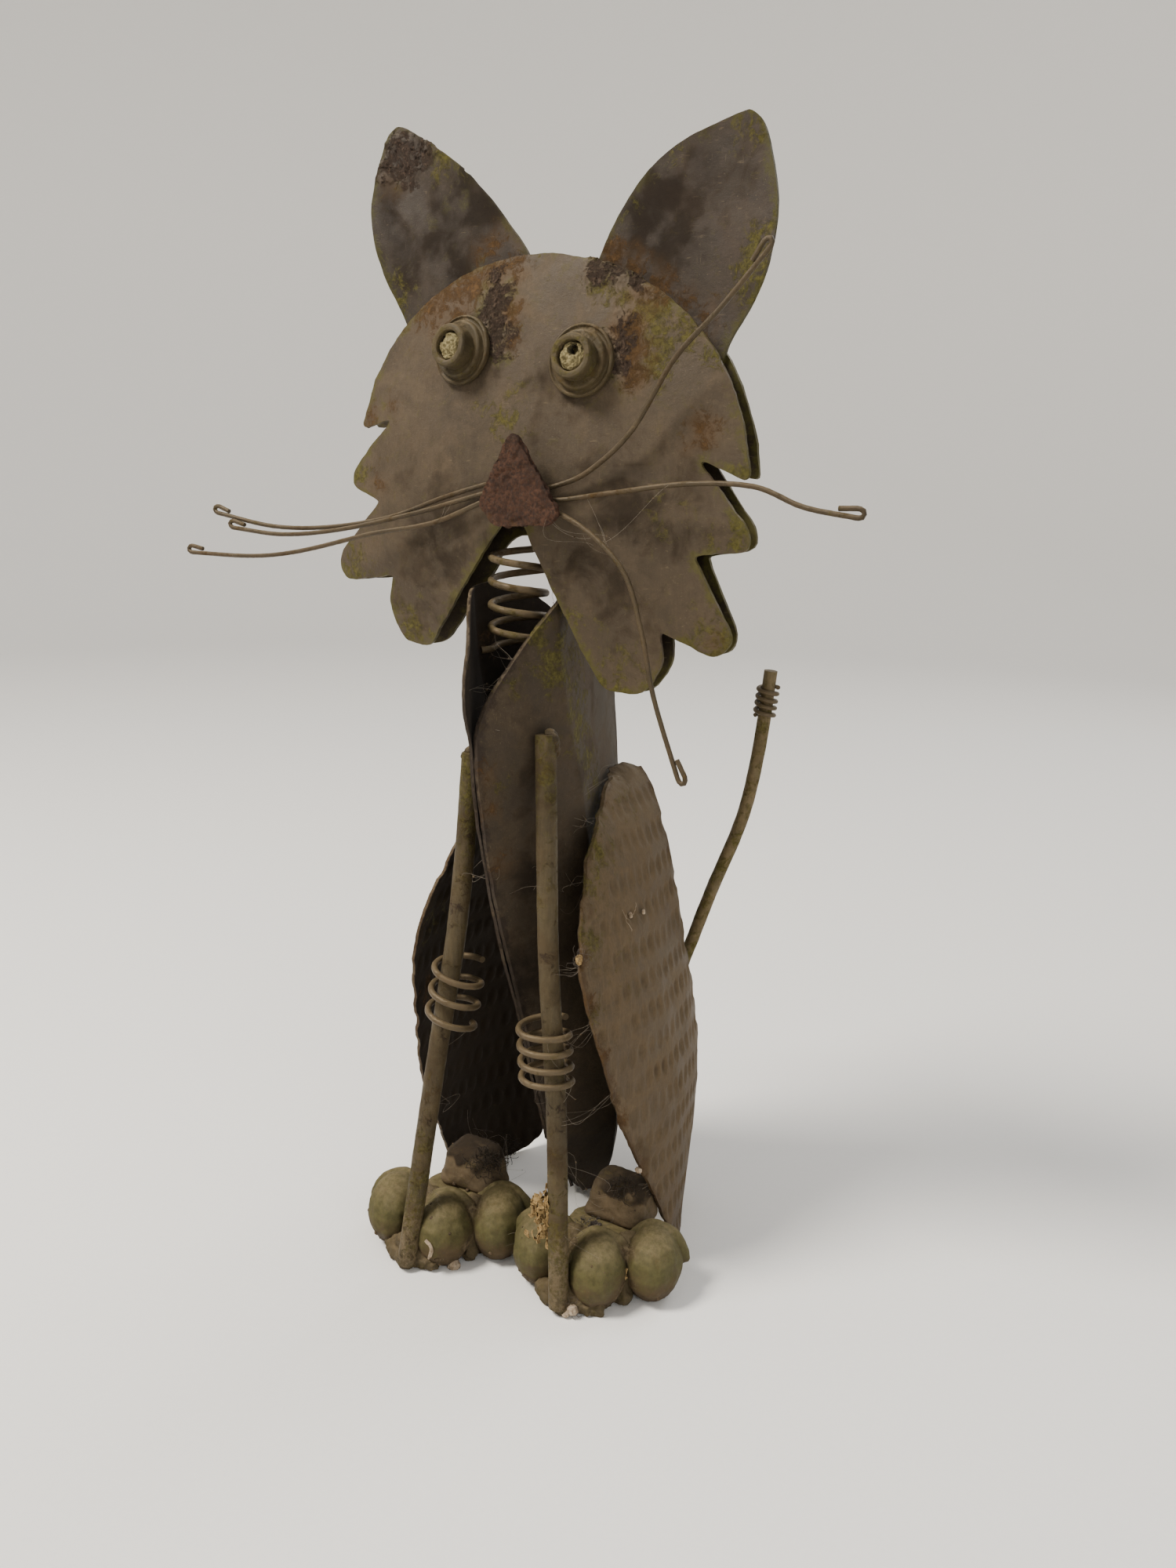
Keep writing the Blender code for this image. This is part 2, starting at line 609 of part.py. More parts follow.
def build_haunch(side, body):
    seat = haunch_seat(side)
    heights = [0.0, 0.07, 0.16, 0.28, 0.4, 0.52, 0.63, 0.73, 0.82, 0.9, 0.95, 0.985, 1.0, 1.03]
    shares = (-0.15, 0.0, 0.16, 0.33, 0.5, 0.67, 0.84, 1.0, 1.1)

    def surface(u, v):
        z = HAUNCH_HEIGHT * heights[round(v * (len(heights) - 1))]
        front, back = value_at(HAUNCH_FRONT, z), value_at(HAUNCH_BACK, z)
        y = front + (back - front) * shares[round(u * (len(shares) - 1))] + HAUNCH_SHIFT[side]
        x = seat + haunch_shape(y, z, side)
        return Vector((side * x, y, z if v else -HAUNCH_TRIM_BELOW))

    name = "haunch_left" if side == 1 else "haunch_right"
    add_sheet(name, surface, len(shares) - 1, len(heights) - 1, SHEET, float(side), haunch_outline(side),
              "X", HAUNCH_TRIM_SPAN, MATERIALS["haunch"], body)


# Legs, paws and ankles

def leg_route(side):
    """Front leg rod from its weld on the torso down to the toes."""
    toe = paw_point(side, *LEG_TOE)
    if side == 1:
        upper = ((24.6, -10.5, 186.0), (27.6, -12.5, 152.0), (34.4, -15.5, 90.0))
        top = (-7.0 * MM, 256.0 * MM)
    else:
        upper = ((-21.5, -7.0, 190.0), (-23.5, -11.5, 152.0), (-29.5, -17.0, 98.0))
        top = (-2.0 * MM, 242.0 * MM)
    top_x = torso_inner(*top) + SHEET + WELD_ROOM + GAP + LEG_RADIUS
    points = [Vector((side * top_x, *top))] + [Vector(point) * MM for point in upper] + [toe]
    return smooth_path(points, 2)


def paw_point(side, sideways, forward, height):
    """A point given from the middle toe: sideways and forward as the paw faces."""
    x, y = PAW_PLACES[side]
    right = Vector((math.cos(PAW_TURN), math.sin(PAW_TURN), 0.0))
    ahead = Vector((math.sin(PAW_TURN), -math.cos(PAW_TURN), 0.0))
    return Vector((x, y, height)) + right * sideways + ahead * forward


def build_leg(side, body):
    name = "leg_left" if side == 1 else "leg_right"
    return add_wire(name, leg_route(side), LEG_RADIUS, MATERIALS["rod"], body, sides_step=3)


def route_at(route, height):
    for upper, lower in zip(route, route[1:]):
        if lower.z <= height <= upper.z:
            share = (upper.z - height) / (upper.z - lower.z)
            return upper.lerp(lower, share)
    return route[-1].copy()


def build_leg_spring(side, body):
    spring = LEG_SPRINGS[side]
    route = leg_route(side)
    foot = route_at(route, spring["bottom"])
    head = route_at(route, spring["bottom"] + spring["turns"] * spring["pitch"])
    axis = head - foot
    slack = LEG_SPRING_OUTER - 2.0 * LEG_SPRING_WIRE - LEG_RADIUS - GAP
    inward = Vector((-side * slack * 0.9, 0.0, 0.0))
    name = "leg_spring_left" if side == 1 else "leg_spring_right"
    points = coil_points(foot + inward, axis, LEG_SPRING_OUTER - LEG_SPRING_WIRE, spring["pitch"],
                         spring["turns"], start_angle=math.radians(120.0))
    add_wire(name, points, LEG_SPRING_WIRE, MATERIALS["spring"], body)


def cylinder_along(name, start, finish, radius, segments=16):
    """Straight closed cylinder between two points."""
    axis = finish - start
    turn = Vector((0.0, 0.0, 1.0)).rotation_difference(axis).to_matrix().to_4x4()
    place = Matrix.Translation((start + finish) / 2.0) @ turn

    def build(work):
        bmesh.ops.create_cone(work, cap_ends=True, segments=segments, radius1=radius, radius2=radius,
                              depth=axis.length, matrix=place)
    return mesh_from(name, build)


def toe_mesh(name, side, sideways, back, room=0.0):
    """One toe as an egg-shaped body; room makes it larger all round."""
    turn = Matrix.Rotation(PAW_TURN, 4, "Z")
    place = Matrix.Translation(paw_point(side, sideways, -back, TOE_CENTRE_HEIGHT)) @ turn
    size = Matrix.Diagonal((*(half + room for half in TOE_HALF), 1.0))

    def build(work):
        bmesh.ops.create_uvsphere(work, u_segments=12, v_segments=8, radius=1.0, matrix=place @ size)
    return mesh_from(name, build)


def build_paw(side, body):
    name = "paw_left" if side == 1 else "paw_right"
    turn = Matrix.Rotation(PAW_TURN, 4, "Z")

    def heel(work):
        place = Matrix.Translation(paw_point(side, HEEL_SIDE[side], -HEEL_BACK, HEEL_HEIGHT / 2.0)) @ turn
        bmesh.ops.create_cone(work, cap_ends=True, segments=18, radius1=HEEL_RADIUS,
                              radius2=HEEL_RADIUS * HEEL_TAPER, depth=HEEL_HEIGHT, matrix=place)

    def ground(work):
        middle = paw_point(side, 0.0, -HEEL_BACK, -GROUND_CUT[2] / 2.0)
        bmesh.ops.create_cube(work, size=1.0, matrix=Matrix.Translation(middle)
                              @ Matrix.Diagonal((*GROUND_CUT, 1.0)))

    paw = add_object(name, mesh_from(name, heel), MATERIALS["paw"], body)
    for index, (sideways, back) in enumerate(TOE_PLACES):
        toe_name = name + "_toe_" + str(index)
        toe = add_cutter(toe_name, toe_mesh(toe_name, side, sideways, back), body)
        add_boolean(paw, toe, "UNION")
    floor = add_cutter(name + "_ground", mesh_from(name + "_ground", ground), body)
    add_boolean(paw, floor, "DIFFERENCE")
    route = leg_route(side)
    lower, upper = route[-1], route_at(route, ROD_SEAT_TOP)
    reach = (upper - lower).normalized() * ROD_SEAT_BELOW
    seat = cylinder_along(name + "_rod_seat", lower - reach, upper, LEG_RADIUS + GAP)
    add_boolean(paw, add_cutter(name + "_rod_seat", seat, body), "DIFFERENCE")


def build_ankle(side, body):
    """Flared block on the heel; the left one also rests against its haunch."""
    name = "ankle_left" if side == 1 else "ankle_right"
    heel_y = paw_point(side, 0.0, -HEEL_BACK, 0.0).y
    front = heel_y - ANKLE_DEPTH / 2.0 + ANKLE_SET_BACK[side]
    back = front + ANKLE_DEPTH
    low, high = HEEL_HEIGHT + GAP, ANKLE_TOP

    def outer(z):
        edge = [haunch_inner(y, z, side) for y in (front, (front + back) / 2.0, back)]
        return min(edge) - GAP

    inner = ANKLE_INNER[side]

    def build(work):
        rings = []
        for z, squeeze in ((low, 0.0), (ANKLE_WAIST, ANKLE_TAPER * 0.6), (high, ANKLE_TAPER)):
            far = min(outer(z), ANKLE_OUTER[side] - squeeze)
            ends = ((inner + squeeze, front + squeeze * 0.5), (far, front + squeeze * 0.5),
                    (far, back - squeeze * 0.5), (inner + squeeze, back - squeeze * 0.5))
            rings.append([work.verts.new((side * x, y, z)) for x, y in ends])
        work.faces.new(rings[0])
        work.faces.new(rings[-1])
        for lower, upper in zip(rings, rings[1:]):
            for index in range(4):
                after = (index + 1) % 4
                work.faces.new((lower[index], lower[after], upper[after], upper[index]))

    ankle = add_object(name, mesh_from(name, build), MATERIALS["paw"], body)
    bevel = ankle.modifiers.new("edges", "BEVEL")
    bevel.width = ANKLE_ROUND
    bevel.segments = 1
    bevel.limit_method = "ANGLE"
    if ANKLE_CLEARS_TOE[side]:
        hollow_name = name + "_toe_hollow"
        hollow = toe_mesh(hollow_name, side, *TOE_PLACES[-1], TOE_ROOM)
        add_boolean(ankle, add_cutter(hollow_name, hollow, body), "DIFFERENCE")


# Tail

def tail_route():
    points = ((3.0, 110.5, 62.0), (12.0, 111.0, 74.0), (27.0, 104.0, 100.0), (39.0, 98.0, 128.0),
              (52.0, 97.0, 166.0), (66.0, 97.0, 205.0), (72.5, 97.0, 240.0), (76.0, 97.0, 276.0))
    return smooth_path([Vector(point) * MM for point in points], 2)


def build_tail(body):
    route = tail_route()
    add_wire("tail", route, TAIL_RADIUS, MATERIALS["rod"], body, sides_step=2)
    tip = route[-1]
    axis = (tip - route[-2]).normalized()
    length = TAIL_SPRING_PITCH * TAIL_SPRING_TURNS
    foot = tip - axis * (TAIL_SPRING_BELOW_TIP + length)
    points = coil_points(foot, axis, TAIL_RADIUS + 1.3 * GAP + TAIL_SPRING_WIRE, TAIL_SPRING_PITCH,
                         TAIL_SPRING_TURNS, steps_per_turn=7)
    add_wire("tail_spring", points, TAIL_SPRING_WIRE, MATERIALS["spring"], body)


# Assembly

def bounds_bottom_centre():
    bpy.context.view_layer.update()
    graph = bpy.context.evaluated_depsgraph_get()
    corners = []
    for obj in PARTS.objects:
        if obj.type == "EMPTY":
            continue
        evaluated = obj.evaluated_get(graph)
        mesh = bpy.data.meshes.new_from_object(evaluated)
        corners.extend(evaluated.matrix_world @ vertex.co for vertex in mesh.vertices)
        bpy.data.meshes.remove(mesh)
    low = [min(corner[axis] for corner in corners) for axis in range(3)]
    high = [max(corner[axis] for corner in corners) for axis in range(3)]
    return Vector(((low[0] + high[0]) / 2.0, (low[1] + high[1]) / 2.0, low[2]))


def add_empty(name, parent):
    empty = bpy.data.objects.new(name, None)
    PARTS.objects.link(empty)
    empty.parent = parent
    return empty


def build_cat():
    body = add_empty("body", None)
    head = add_empty("head", body)
    head.location = HEAD_CENTRE
    head.rotation_mode = "YXZ"
    head.rotation_euler = Euler((-HEAD_PITCH, HEAD_ROLL, -HEAD_YAW), "YXZ")
    bpy.context.view_layer.update()

    neck_top = head.matrix_world @ Vector((0.0, NECK_BEHIND_FACE, -NECK_TOP_BELOW_FACE))
    neck_top.x = NECK_X
    neck_foot = Vector((NECK_X, neck_top.y, NECK_BOTTOM))
    notch = head.matrix_world.inverted() @ neck_top

    build_head_plates(head, notch.x, notch.z + NECK_WIRE + NECK_NOTCH_ROOM - NECK_OUTER)
    build_eyes(head)
    build_nose(head)
    build_whiskers(head)
    build_neck(body, neck_foot, neck_top)
    build_torso(body)
    build_tail(body)
    for side in (1, -1):
        build_ear(side, head)
        build_leg(side, body)
        build_leg_spring(side, body)
        build_haunch(side, body)
        build_paw(side, body)
        build_ankle(side, body)
    body.location = -bounds_bottom_centre()
    bpy.context.view_layer.update()


clear_scene()
PARTS = new_collection("scrap_metal_cat")
CUTTERS = new_collection("cutters")
MATERIALS = {
    "sheet": make_material("sheet", (0.16, 0.13, 0.10), 0.62, 0.55),
    "sheet_dark": make_material("sheet_dark", (0.05, 0.04, 0.03), 0.75, 0.45),
    "ear": make_material("ear", (0.14, 0.12, 0.10), 0.6, 0.55),
    "haunch": make_material("haunch", (0.20, 0.16, 0.12), 0.55, 0.6),
    "rod": make_material("rod", (0.15, 0.14, 0.09), 0.6, 0.5),
    "spring": make_material("spring", (0.22, 0.18, 0.13), 0.5, 0.6),
    "wire": make_material("wire", (0.16, 0.12, 0.09), 0.55, 0.6),
    "paw": make_material("paw", (0.13, 0.13, 0.07), 0.65, 0.45),
    "moss_metal": make_material("moss_metal", (0.17, 0.15, 0.07), 0.7, 0.4),
    "rust": make_material("rust", (0.16, 0.06, 0.03), 0.9, 0.1)}
build_cat()
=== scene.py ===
"""Dresses the welded scrap metal cat: formed sheets, rods, coils, rust, moss, mud and webs.

The cat looks along -Y and +X is its own left side. Metres, +Z up.
"""

import math
import random

import bmesh
import bpy
import numpy as np
from bpy.props import FloatProperty, FloatVectorProperty, IntProperty, PointerProperty
from mathutils import Euler, Matrix, Vector, noise
from mathutils.bvhtree import BVHTree
from mathutils.kdtree import KDTree


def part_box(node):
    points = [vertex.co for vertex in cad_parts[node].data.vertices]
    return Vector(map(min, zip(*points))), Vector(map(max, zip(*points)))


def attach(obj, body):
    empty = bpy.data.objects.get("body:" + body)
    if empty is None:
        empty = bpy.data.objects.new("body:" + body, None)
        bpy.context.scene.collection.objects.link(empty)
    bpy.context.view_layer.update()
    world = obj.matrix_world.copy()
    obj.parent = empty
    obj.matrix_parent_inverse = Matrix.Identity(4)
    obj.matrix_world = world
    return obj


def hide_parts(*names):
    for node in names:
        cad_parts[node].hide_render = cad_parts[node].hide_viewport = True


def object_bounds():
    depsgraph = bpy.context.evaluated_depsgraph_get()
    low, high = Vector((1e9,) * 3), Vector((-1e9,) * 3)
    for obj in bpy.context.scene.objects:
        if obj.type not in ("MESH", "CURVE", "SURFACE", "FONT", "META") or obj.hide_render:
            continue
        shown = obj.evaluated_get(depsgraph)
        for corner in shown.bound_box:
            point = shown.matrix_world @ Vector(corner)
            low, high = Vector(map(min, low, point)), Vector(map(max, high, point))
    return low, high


bl_info = {
    "name": "Scrap Metal Cat",
    "version": (1, 0, 0),
    "blender": (4, 5, 0),
    "location": "3D View > Sidebar > Scrap Cat",
    "description": "Dresses the welded scrap metal cat in sheet, rod, wire, rust, moss and dirt",
    "category": "Object",
}

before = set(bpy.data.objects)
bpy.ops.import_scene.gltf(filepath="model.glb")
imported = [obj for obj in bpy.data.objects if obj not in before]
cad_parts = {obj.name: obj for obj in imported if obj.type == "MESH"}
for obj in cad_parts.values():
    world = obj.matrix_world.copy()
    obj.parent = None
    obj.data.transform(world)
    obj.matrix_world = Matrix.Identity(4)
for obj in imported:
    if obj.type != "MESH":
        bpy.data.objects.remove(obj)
CAD_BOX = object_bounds()

MM = 0.001
BODY_SHIFT = Vector((12.924, -38.638, 0.0)) * MM
GAP = 0.3 * MM
SIDES = ("left", "right")
OUTWARDS = {"left": 1.0, "right": -1.0}

# Head, as the solids have it
HEAD_CENTRE = Vector((6.4, -8.0, 361.9)) * MM
HEAD_YAW, HEAD_PITCH, HEAD_ROLL = (math.radians(angle) for angle in (1.5, 2.0, 5.7))
HEAD = (Matrix.Translation(HEAD_CENTRE + BODY_SHIFT)
        @ Euler((-HEAD_PITCH, HEAD_ROLL, -HEAD_YAW), "YXZ").to_matrix().to_4x4())
DOME_RADIUS = 400.0 * MM
PLATE = 1.6 * MM
CUP_RADIUS = 14.2 * MM
EYE_PLACES = {"right": (-36.5 * MM, 43.3 * MM), "left": (21.5 * MM, 43.6 * MM)}
NOSE_PLACE = (7.0 * MM, -7.5 * MM)
NOSE_STAND_OFF = 9.0 * MM

# Camera, as the photograph was taken
CAMERA_PLACE = Vector((293.2, -443.9, 360.0)) * MM + BODY_SHIFT
CAMERA_TURN, CAMERA_TILT, CAMERA_ROLL = (math.radians(angle) for angle in (30.0, 13.6, 1.5))
PHOTO_SIZE = (1500, 2000)
FOCAL_PIXELS = 1618.0


# Settings that a user would change

def length_setting(name, description, millimetres):
    return FloatProperty(name=name, description=description, default=millimetres * MM, unit="LENGTH")


def power_setting(name, description, default):
    return FloatProperty(name=name, description=description, default=default, unit="POWER")


def colour_setting(name, description, *default):
    return FloatVectorProperty(name=name, description=description, default=default, subtype="COLOR")


class CatSheetSettings(bpy.types.PropertyGroup):
    cell: length_setting("Sheet cell", "Longest edge left in a formed sheet", 1.9)
    dent: length_setting("Dent depth", "Depth of the broad dents in every sheet", 0.9)
    nibble: length_setting("Cut edge wander", "How far a cut edge wanders in the sheet's plane", 0.35)
    dimple: length_setting("Dimple depth", "Depth of the pressed dimples of the haunches", 1.1)
    dimple_pitch: length_setting("Dimple pitch", "Distance between neighbouring dimples", 7.4)


class CatWireSettings(bpy.types.PropertyGroup):
    ring: length_setting("Ring spacing", "Distance between rings of vertices along a wire", 1.3)


class CatColourSettings(bpy.types.PropertyGroup):
    sheet: colour_setting("Sheet", "Weathered face and torso sheets", 0.066, 0.047, 0.028)
    haunch: colour_setting("Haunch", "Lighter dimpled haunch sheets", 0.083, 0.056, 0.028)
    ear: colour_setting("Ear", "Smoky ear sheets", 0.040, 0.029, 0.020)
    # This colour also paints the shade of hollows, inner faces and cast shadows.
    shadow: colour_setting("Smoke", "Dark oxide between the lighter patches", 0.014, 0.0095, 0.0060)
    rod: colour_setting("Rod", "Olive brown rods and tail", 0.068, 0.050, 0.024)
    spring: colour_setting("Spring", "Tan grey coil springs", 0.094, 0.068, 0.037)
    paw: colour_setting("Paw", "Brown underside of the paws", 0.062, 0.041, 0.019)
    ankle: colour_setting("Ankle", "Dusty brown ankles", 0.105, 0.075, 0.042)
    nose: colour_setting("Nose", "Coarse deep brown rust of the nose", 0.062, 0.028, 0.015)
    orange: colour_setting("Orange rust", "Fresh rust", 0.092, 0.049, 0.018)
    scale: colour_setting("Rust scale", "Dark purple brown flaking rust", 0.045, 0.029, 0.020)
    bloom: colour_setting("Bloom", "Dusty grey green on the tops of the toes", 0.069, 0.061, 0.021)
    moss: colour_setting("Moss", "Yellow green lichen and moss", 0.084, 0.073, 0.016)
    dust: colour_setting("Dust", "Pale dry dust and mud", 0.210, 0.155, 0.085)
    web: colour_setting("Web", "Cobweb strands", 0.26, 0.22, 0.17)


class CatDirtSettings(bpy.types.PropertyGroup):
    strand_radius: length_setting("Strand radius", "Thickness of a cobweb strand", 0.04)
    strands: FloatProperty(name="Strand share", description="Share of the listed cobweb strands that is spun",
                           default=0.5, subtype="FACTOR")
    crumbs: IntProperty(name="Crumbs", description="Dirt crumbs around the toes", default=260, min=0)


class CatStageSettings(bpy.types.PropertyGroup):
    floor: colour_setting("Floor", "Plain pale floor and backdrop", 0.87, 0.85, 0.81)
    key: power_setting("Key light", "Power of the soft light at the upper left", 64.0)
    fill: power_setting("Fill light", "Power of the soft light at the right", 10.0)
    air: FloatProperty(name="Sky level", description="Strength of the even light all round", default=0.52)


# Photograph to model

def camera_axes():
    ahead = Vector((-math.sin(CAMERA_TURN) * math.cos(CAMERA_TILT),
                    math.cos(CAMERA_TURN) * math.cos(CAMERA_TILT), -math.sin(CAMERA_TILT)))
    level = Vector((math.cos(CAMERA_TURN), math.sin(CAMERA_TURN), 0.0))
    above = level.cross(ahead)
    right = level * math.cos(CAMERA_ROLL) + above * math.sin(CAMERA_ROLL)
    up = above * math.cos(CAMERA_ROLL) - level * math.sin(CAMERA_ROLL)
    return right, up, ahead


def sight_line(column, row):
    """Direction from the camera through a pixel of the 1500 x 2000 photograph."""
    right, up, ahead = camera_axes()
    across = (column - PHOTO_SIZE[0] / 2.0) / FOCAL_PIXELS
    down = (row - PHOTO_SIZE[1] / 2.0) / FOCAL_PIXELS
    return (ahead + right * across - up * down).normalized()


# Line of sight past a solid: places tried, distance of the first from the camera, and between them
PROBES, PROBE_START, PROBE_STEP = 60, 0.35, 0.008
TREES = {}


def node_tree(node):
    if node not in TREES:
        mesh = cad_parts[node].data
        TREES[node] = BVHTree.FromPolygons([vertex.co.copy() for vertex in mesh.vertices],
                                           [tuple(face.vertices) for face in mesh.polygons])
    return TREES[node]


def seen_on(node, column, row):
    """Point of a solid that the photograph shows at a pixel, or its nearest point to that line of sight."""
    aim = sight_line(column, row)
    hit, normal, _, _ = node_tree(node).ray_cast(CAMERA_PLACE, aim)
    if hit is None:
        best = None
        for step in range(PROBES):
            probe = CAMERA_PLACE + aim * (PROBE_START + step * PROBE_STEP)
            near, normal_near, _, distance = node_tree(node).find_nearest(probe)
            if best is None or distance < best[0]:
                best = (distance, near, normal_near)
        _, hit, normal = best
    return hit, normal


# Selecting and meshing

FINE_CELL = 0.8 * MM
SPLIT_PASSES = 12
RIM_ANGLE = math.radians(55.0)
TIP_REACH = 4.0 * MM
SHEET_ANGLE = math.radians(42.0)
EYE_ANGLE = math.radians(50.0)
ROUGH_ANGLE = math.radians(60.0)


def select_only(*pieces):
    bpy.ops.object.select_all(action="DESELECT")
    for piece in pieces:
        piece.select_set(True)
    bpy.context.view_layer.objects.active = pieces[0]


def edit(piece, select="SELECT", mode="VERT"):
    select_only(piece)
    bpy.ops.object.mode_set(mode="EDIT")
    bpy.ops.mesh.select_mode(type=mode)
    bpy.ops.mesh.select_all(action=select)


def leave_edit():
    bpy.ops.object.mode_set(mode="OBJECT")


def new_piece(name, data):
    piece = bpy.data.objects.new(name, data)
    bpy.context.scene.collection.objects.link(piece)
    return piece


def add_primitive(primitive, **settings):
    """A new primitive, with everything else deselected."""
    bpy.ops.object.select_all(action="DESELECT")
    primitive(**settings)
    return bpy.context.view_layer.objects.active


def rename(piece, name):
    piece.name = name
    piece.data.name = name
    return piece


def apply_place(piece):
    """Brings the object to the origin, unturned and unscaled, with its place in its mesh."""
    select_only(piece)
    bpy.ops.object.transform_apply(location=True, rotation=True, scale=True)


def copy_of_node(name, node):
    """Own copy of a CAD node's mesh with its loose triangles merged."""
    piece = new_piece(name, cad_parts[node].data.copy())
    piece.data.name = name
    piece.data.materials.clear()
    edit(piece)
    bpy.ops.mesh.remove_doubles(threshold=0.00001)
    bpy.ops.mesh.customdata_custom_splitnormals_clear()
    leave_edit()
    return piece


def fair_triangles():
    """Turns the mesh in edit mode into triangles without long slivers."""
    bpy.ops.mesh.quads_convert_to_tris(quad_method="BEAUTY", ngon_method="BEAUTY")
    bpy.ops.mesh.beautify_fill(angle_limit=math.radians(12.0))


def refine(piece, cell, spots=()):
    """Splits every edge longer than cell, and longer than FINE_CELL inside the spots, pass by pass."""
    centres = np.array([tuple(point) for point, _, _ in spots]).reshape(-1, 3)
    reaches = np.array([radius * 1.1 for _, radius, _ in spots])
    edit(piece, mode="EDGE")
    fair_triangles()
    for _ in range(SPLIT_PASSES):
        bpy.ops.mesh.select_all(action="DESELECT")
        work = bmesh.from_edit_mesh(piece.data)
        ends = np.array([(*edge.verts[0].co, *edge.verts[1].co) for edge in work.edges])
        first, last = ends[:, :3], ends[:, 3:]
        length, middle = np.linalg.norm(first - last, axis=1), (first + last) / 2.0
        limit = np.full(len(length), cell)
        for centre, reach in zip(centres, reaches):
            limit[np.linalg.norm(middle - centre, axis=1) < reach] = FINE_CELL
        chosen = length > limit
        if not chosen.any():
            break
        for edge, long_edge in zip(work.edges, chosen):
            edge.select_set(bool(long_edge))
        bmesh.update_edit_mesh(piece.data)
        bpy.ops.mesh.subdivide(number_cuts=1)
        bpy.ops.mesh.select_all(action="SELECT")
        fair_triangles()
    bpy.ops.mesh.select_all(action="SELECT")
    bpy.ops.mesh.dissolve_degenerate(threshold=0.00002)
    bpy.ops.mesh.quads_convert_to_tris(quad_method="BEAUTY", ngon_method="BEAUTY")
    leave_edit()


def vertex_places(mesh):
    places = np.empty(len(mesh.vertices) * 3)
    mesh.vertices.foreach_get("co", places)
    return places.reshape(-1, 3)


def rim_edges(mesh):
    """Edges whose two faces meet at more than RIM_ANGLE: the cut rims of a sheet."""
    work = bmesh.new()
    work.from_mesh(mesh)
    work.edges.index_update()
    flags = np.array([len(edge.link_faces) == 2 and edge.calc_face_angle(0.0) > RIM_ANGLE
                      for edge in work.edges], dtype=bool)
    pairs = np.array([[vertex.index for vertex in edge.verts] for edge in work.edges])
    work.free()
    return pairs[flags]


def neighbour_mean(places, edges):
    total = np.zeros_like(places)
    count = np.bincount(edges.ravel(), minlength=len(places)).astype(float)
    for axis in range(3):
        total[:, axis] = (np.bincount(edges[:, 0], places[edges[:, 1], axis], len(places))
                          + np.bincount(edges[:, 1], places[edges[:, 0], axis], len(places)))
    return total / np.maximum(count, 1.0)[:, None], count > 0


def relax(mesh, rounds, rim_rounds, crease=None, tip=None):
    """Evens out facets inside a sheet and, separately, along its rims; a crease moves less, a tip stays."""
    places = vertex_places(mesh)
    edges = np.empty(len(mesh.edges) * 2, dtype=np.int64)
    mesh.edges.foreach_get("vertices", edges)
    edges = edges.reshape(-1, 2)
    rims = rim_edges(mesh)
    on_rim = np.zeros(len(places), dtype=bool)
    on_rim[rims.ravel()] = True
    crossing = np.bincount(rims.ravel(), minlength=len(places)) == 2
    held = np.full((len(places), 1), 0.5)
    if tip is not None:
        held[:, 0] *= np.clip(np.linalg.norm(places - np.array(tip), axis=1) / TIP_REACH - 0.15, 0.0, 1.0)
    for _ in range(rim_rounds):
        mean, _ = neighbour_mean(places, rims)
        places[crossing] += (mean[crossing] - places[crossing]) * held[crossing]
    share = np.full(len(places), 0.5)
    if crease:
        share = np.array([0.5 * crease(Vector(place)) for place in places])
    for _ in range(rounds):
        mean, found = neighbour_mean(places, edges)
        free = found & ~on_rim
        places[free] += (mean[free] - places[free]) * share[free, None]
    mesh.vertices.foreach_set("co", places.ravel())
    mesh.update()
    return np.nonzero(on_rim)[0]


def add_mask(mesh, name, values):
    layer = mesh.attributes.get(name) or mesh.attributes.new(name, "FLOAT", "POINT")
    layer.data.foreach_set("value", np.asarray(values, dtype=np.float32))


def rim_nearness(mesh, rim_indices, reach):
    """1 on a cut rim, falling to 0 at the reach."""
    if not len(rim_indices):
        return np.zeros(len(mesh.vertices))
    tree = KDTree(len(rim_indices))
    for index in rim_indices:
        tree.insert(mesh.vertices[int(index)].co, int(index))
    tree.balance()
    return np.array([max(0.0, 1.0 - tree.find(vertex.co)[2] / reach) for vertex in mesh.vertices])


def spot_mask(mesh, spots):
    """Soft spots (point, radius, strength) with wandering edges; the strongest counts."""
    places = vertex_places(mesh)
    total = np.zeros(len(places))
    if not spots:
        return total
    wander = np.array([noise.noise(vertex.co / (7.0 * MM)) + 0.6 * noise.noise(vertex.co / (2.8 * MM))
                       for vertex in mesh.vertices])
    for point, radius, strength in spots:
        distance = np.linalg.norm(places - np.array(point), axis=1) / radius
        total = np.maximum(total, strength * np.clip(1.15 - distance * 0.85 + wander * 0.35, 0.0, 1.0)
                           * (distance < 1.6))
    return total


def inside_box(mesh):
    """Keeps the dressed surface inside the box of the solids."""
    low, high = (np.array(corner) for corner in CAD_BOX)
    mesh.vertices.foreach_set("co", np.clip(vertex_places(mesh), low, high).ravel())
    mesh.update()


def push(mesh, offset):
    """Moves each vertex by offset(place, normal)."""
    moved = [vertex.co + offset(vertex.co, vertex.normal) for vertex in mesh.vertices]
    for vertex, place in zip(mesh.vertices, moved):
        vertex.co = place
    mesh.update()


def bumps(place, size, amount, seed=0.0):
    return noise.noise(place / size + Vector((seed, seed * 0.7, -seed))) * amount


def smooth_shade(piece, angle=SHEET_ANGLE):
    select_only(piece)
    bpy.ops.object.shade_smooth_by_angle(angle=angle)


def voxel_body(piece, voxel, rounds):
    """Fuses whatever a piece is made of into one skin and softens it."""
    select_only(piece)
    remesh = piece.modifiers.new("skin", "REMESH")
    remesh.mode = "VOXEL"
    remesh.voxel_size = voxel
    bpy.ops.object.modifier_apply(modifier=remesh.name)
    edit(piece)
    bpy.ops.mesh.vertices_smooth(factor=0.5, repeat=rounds)
    leave_edit()


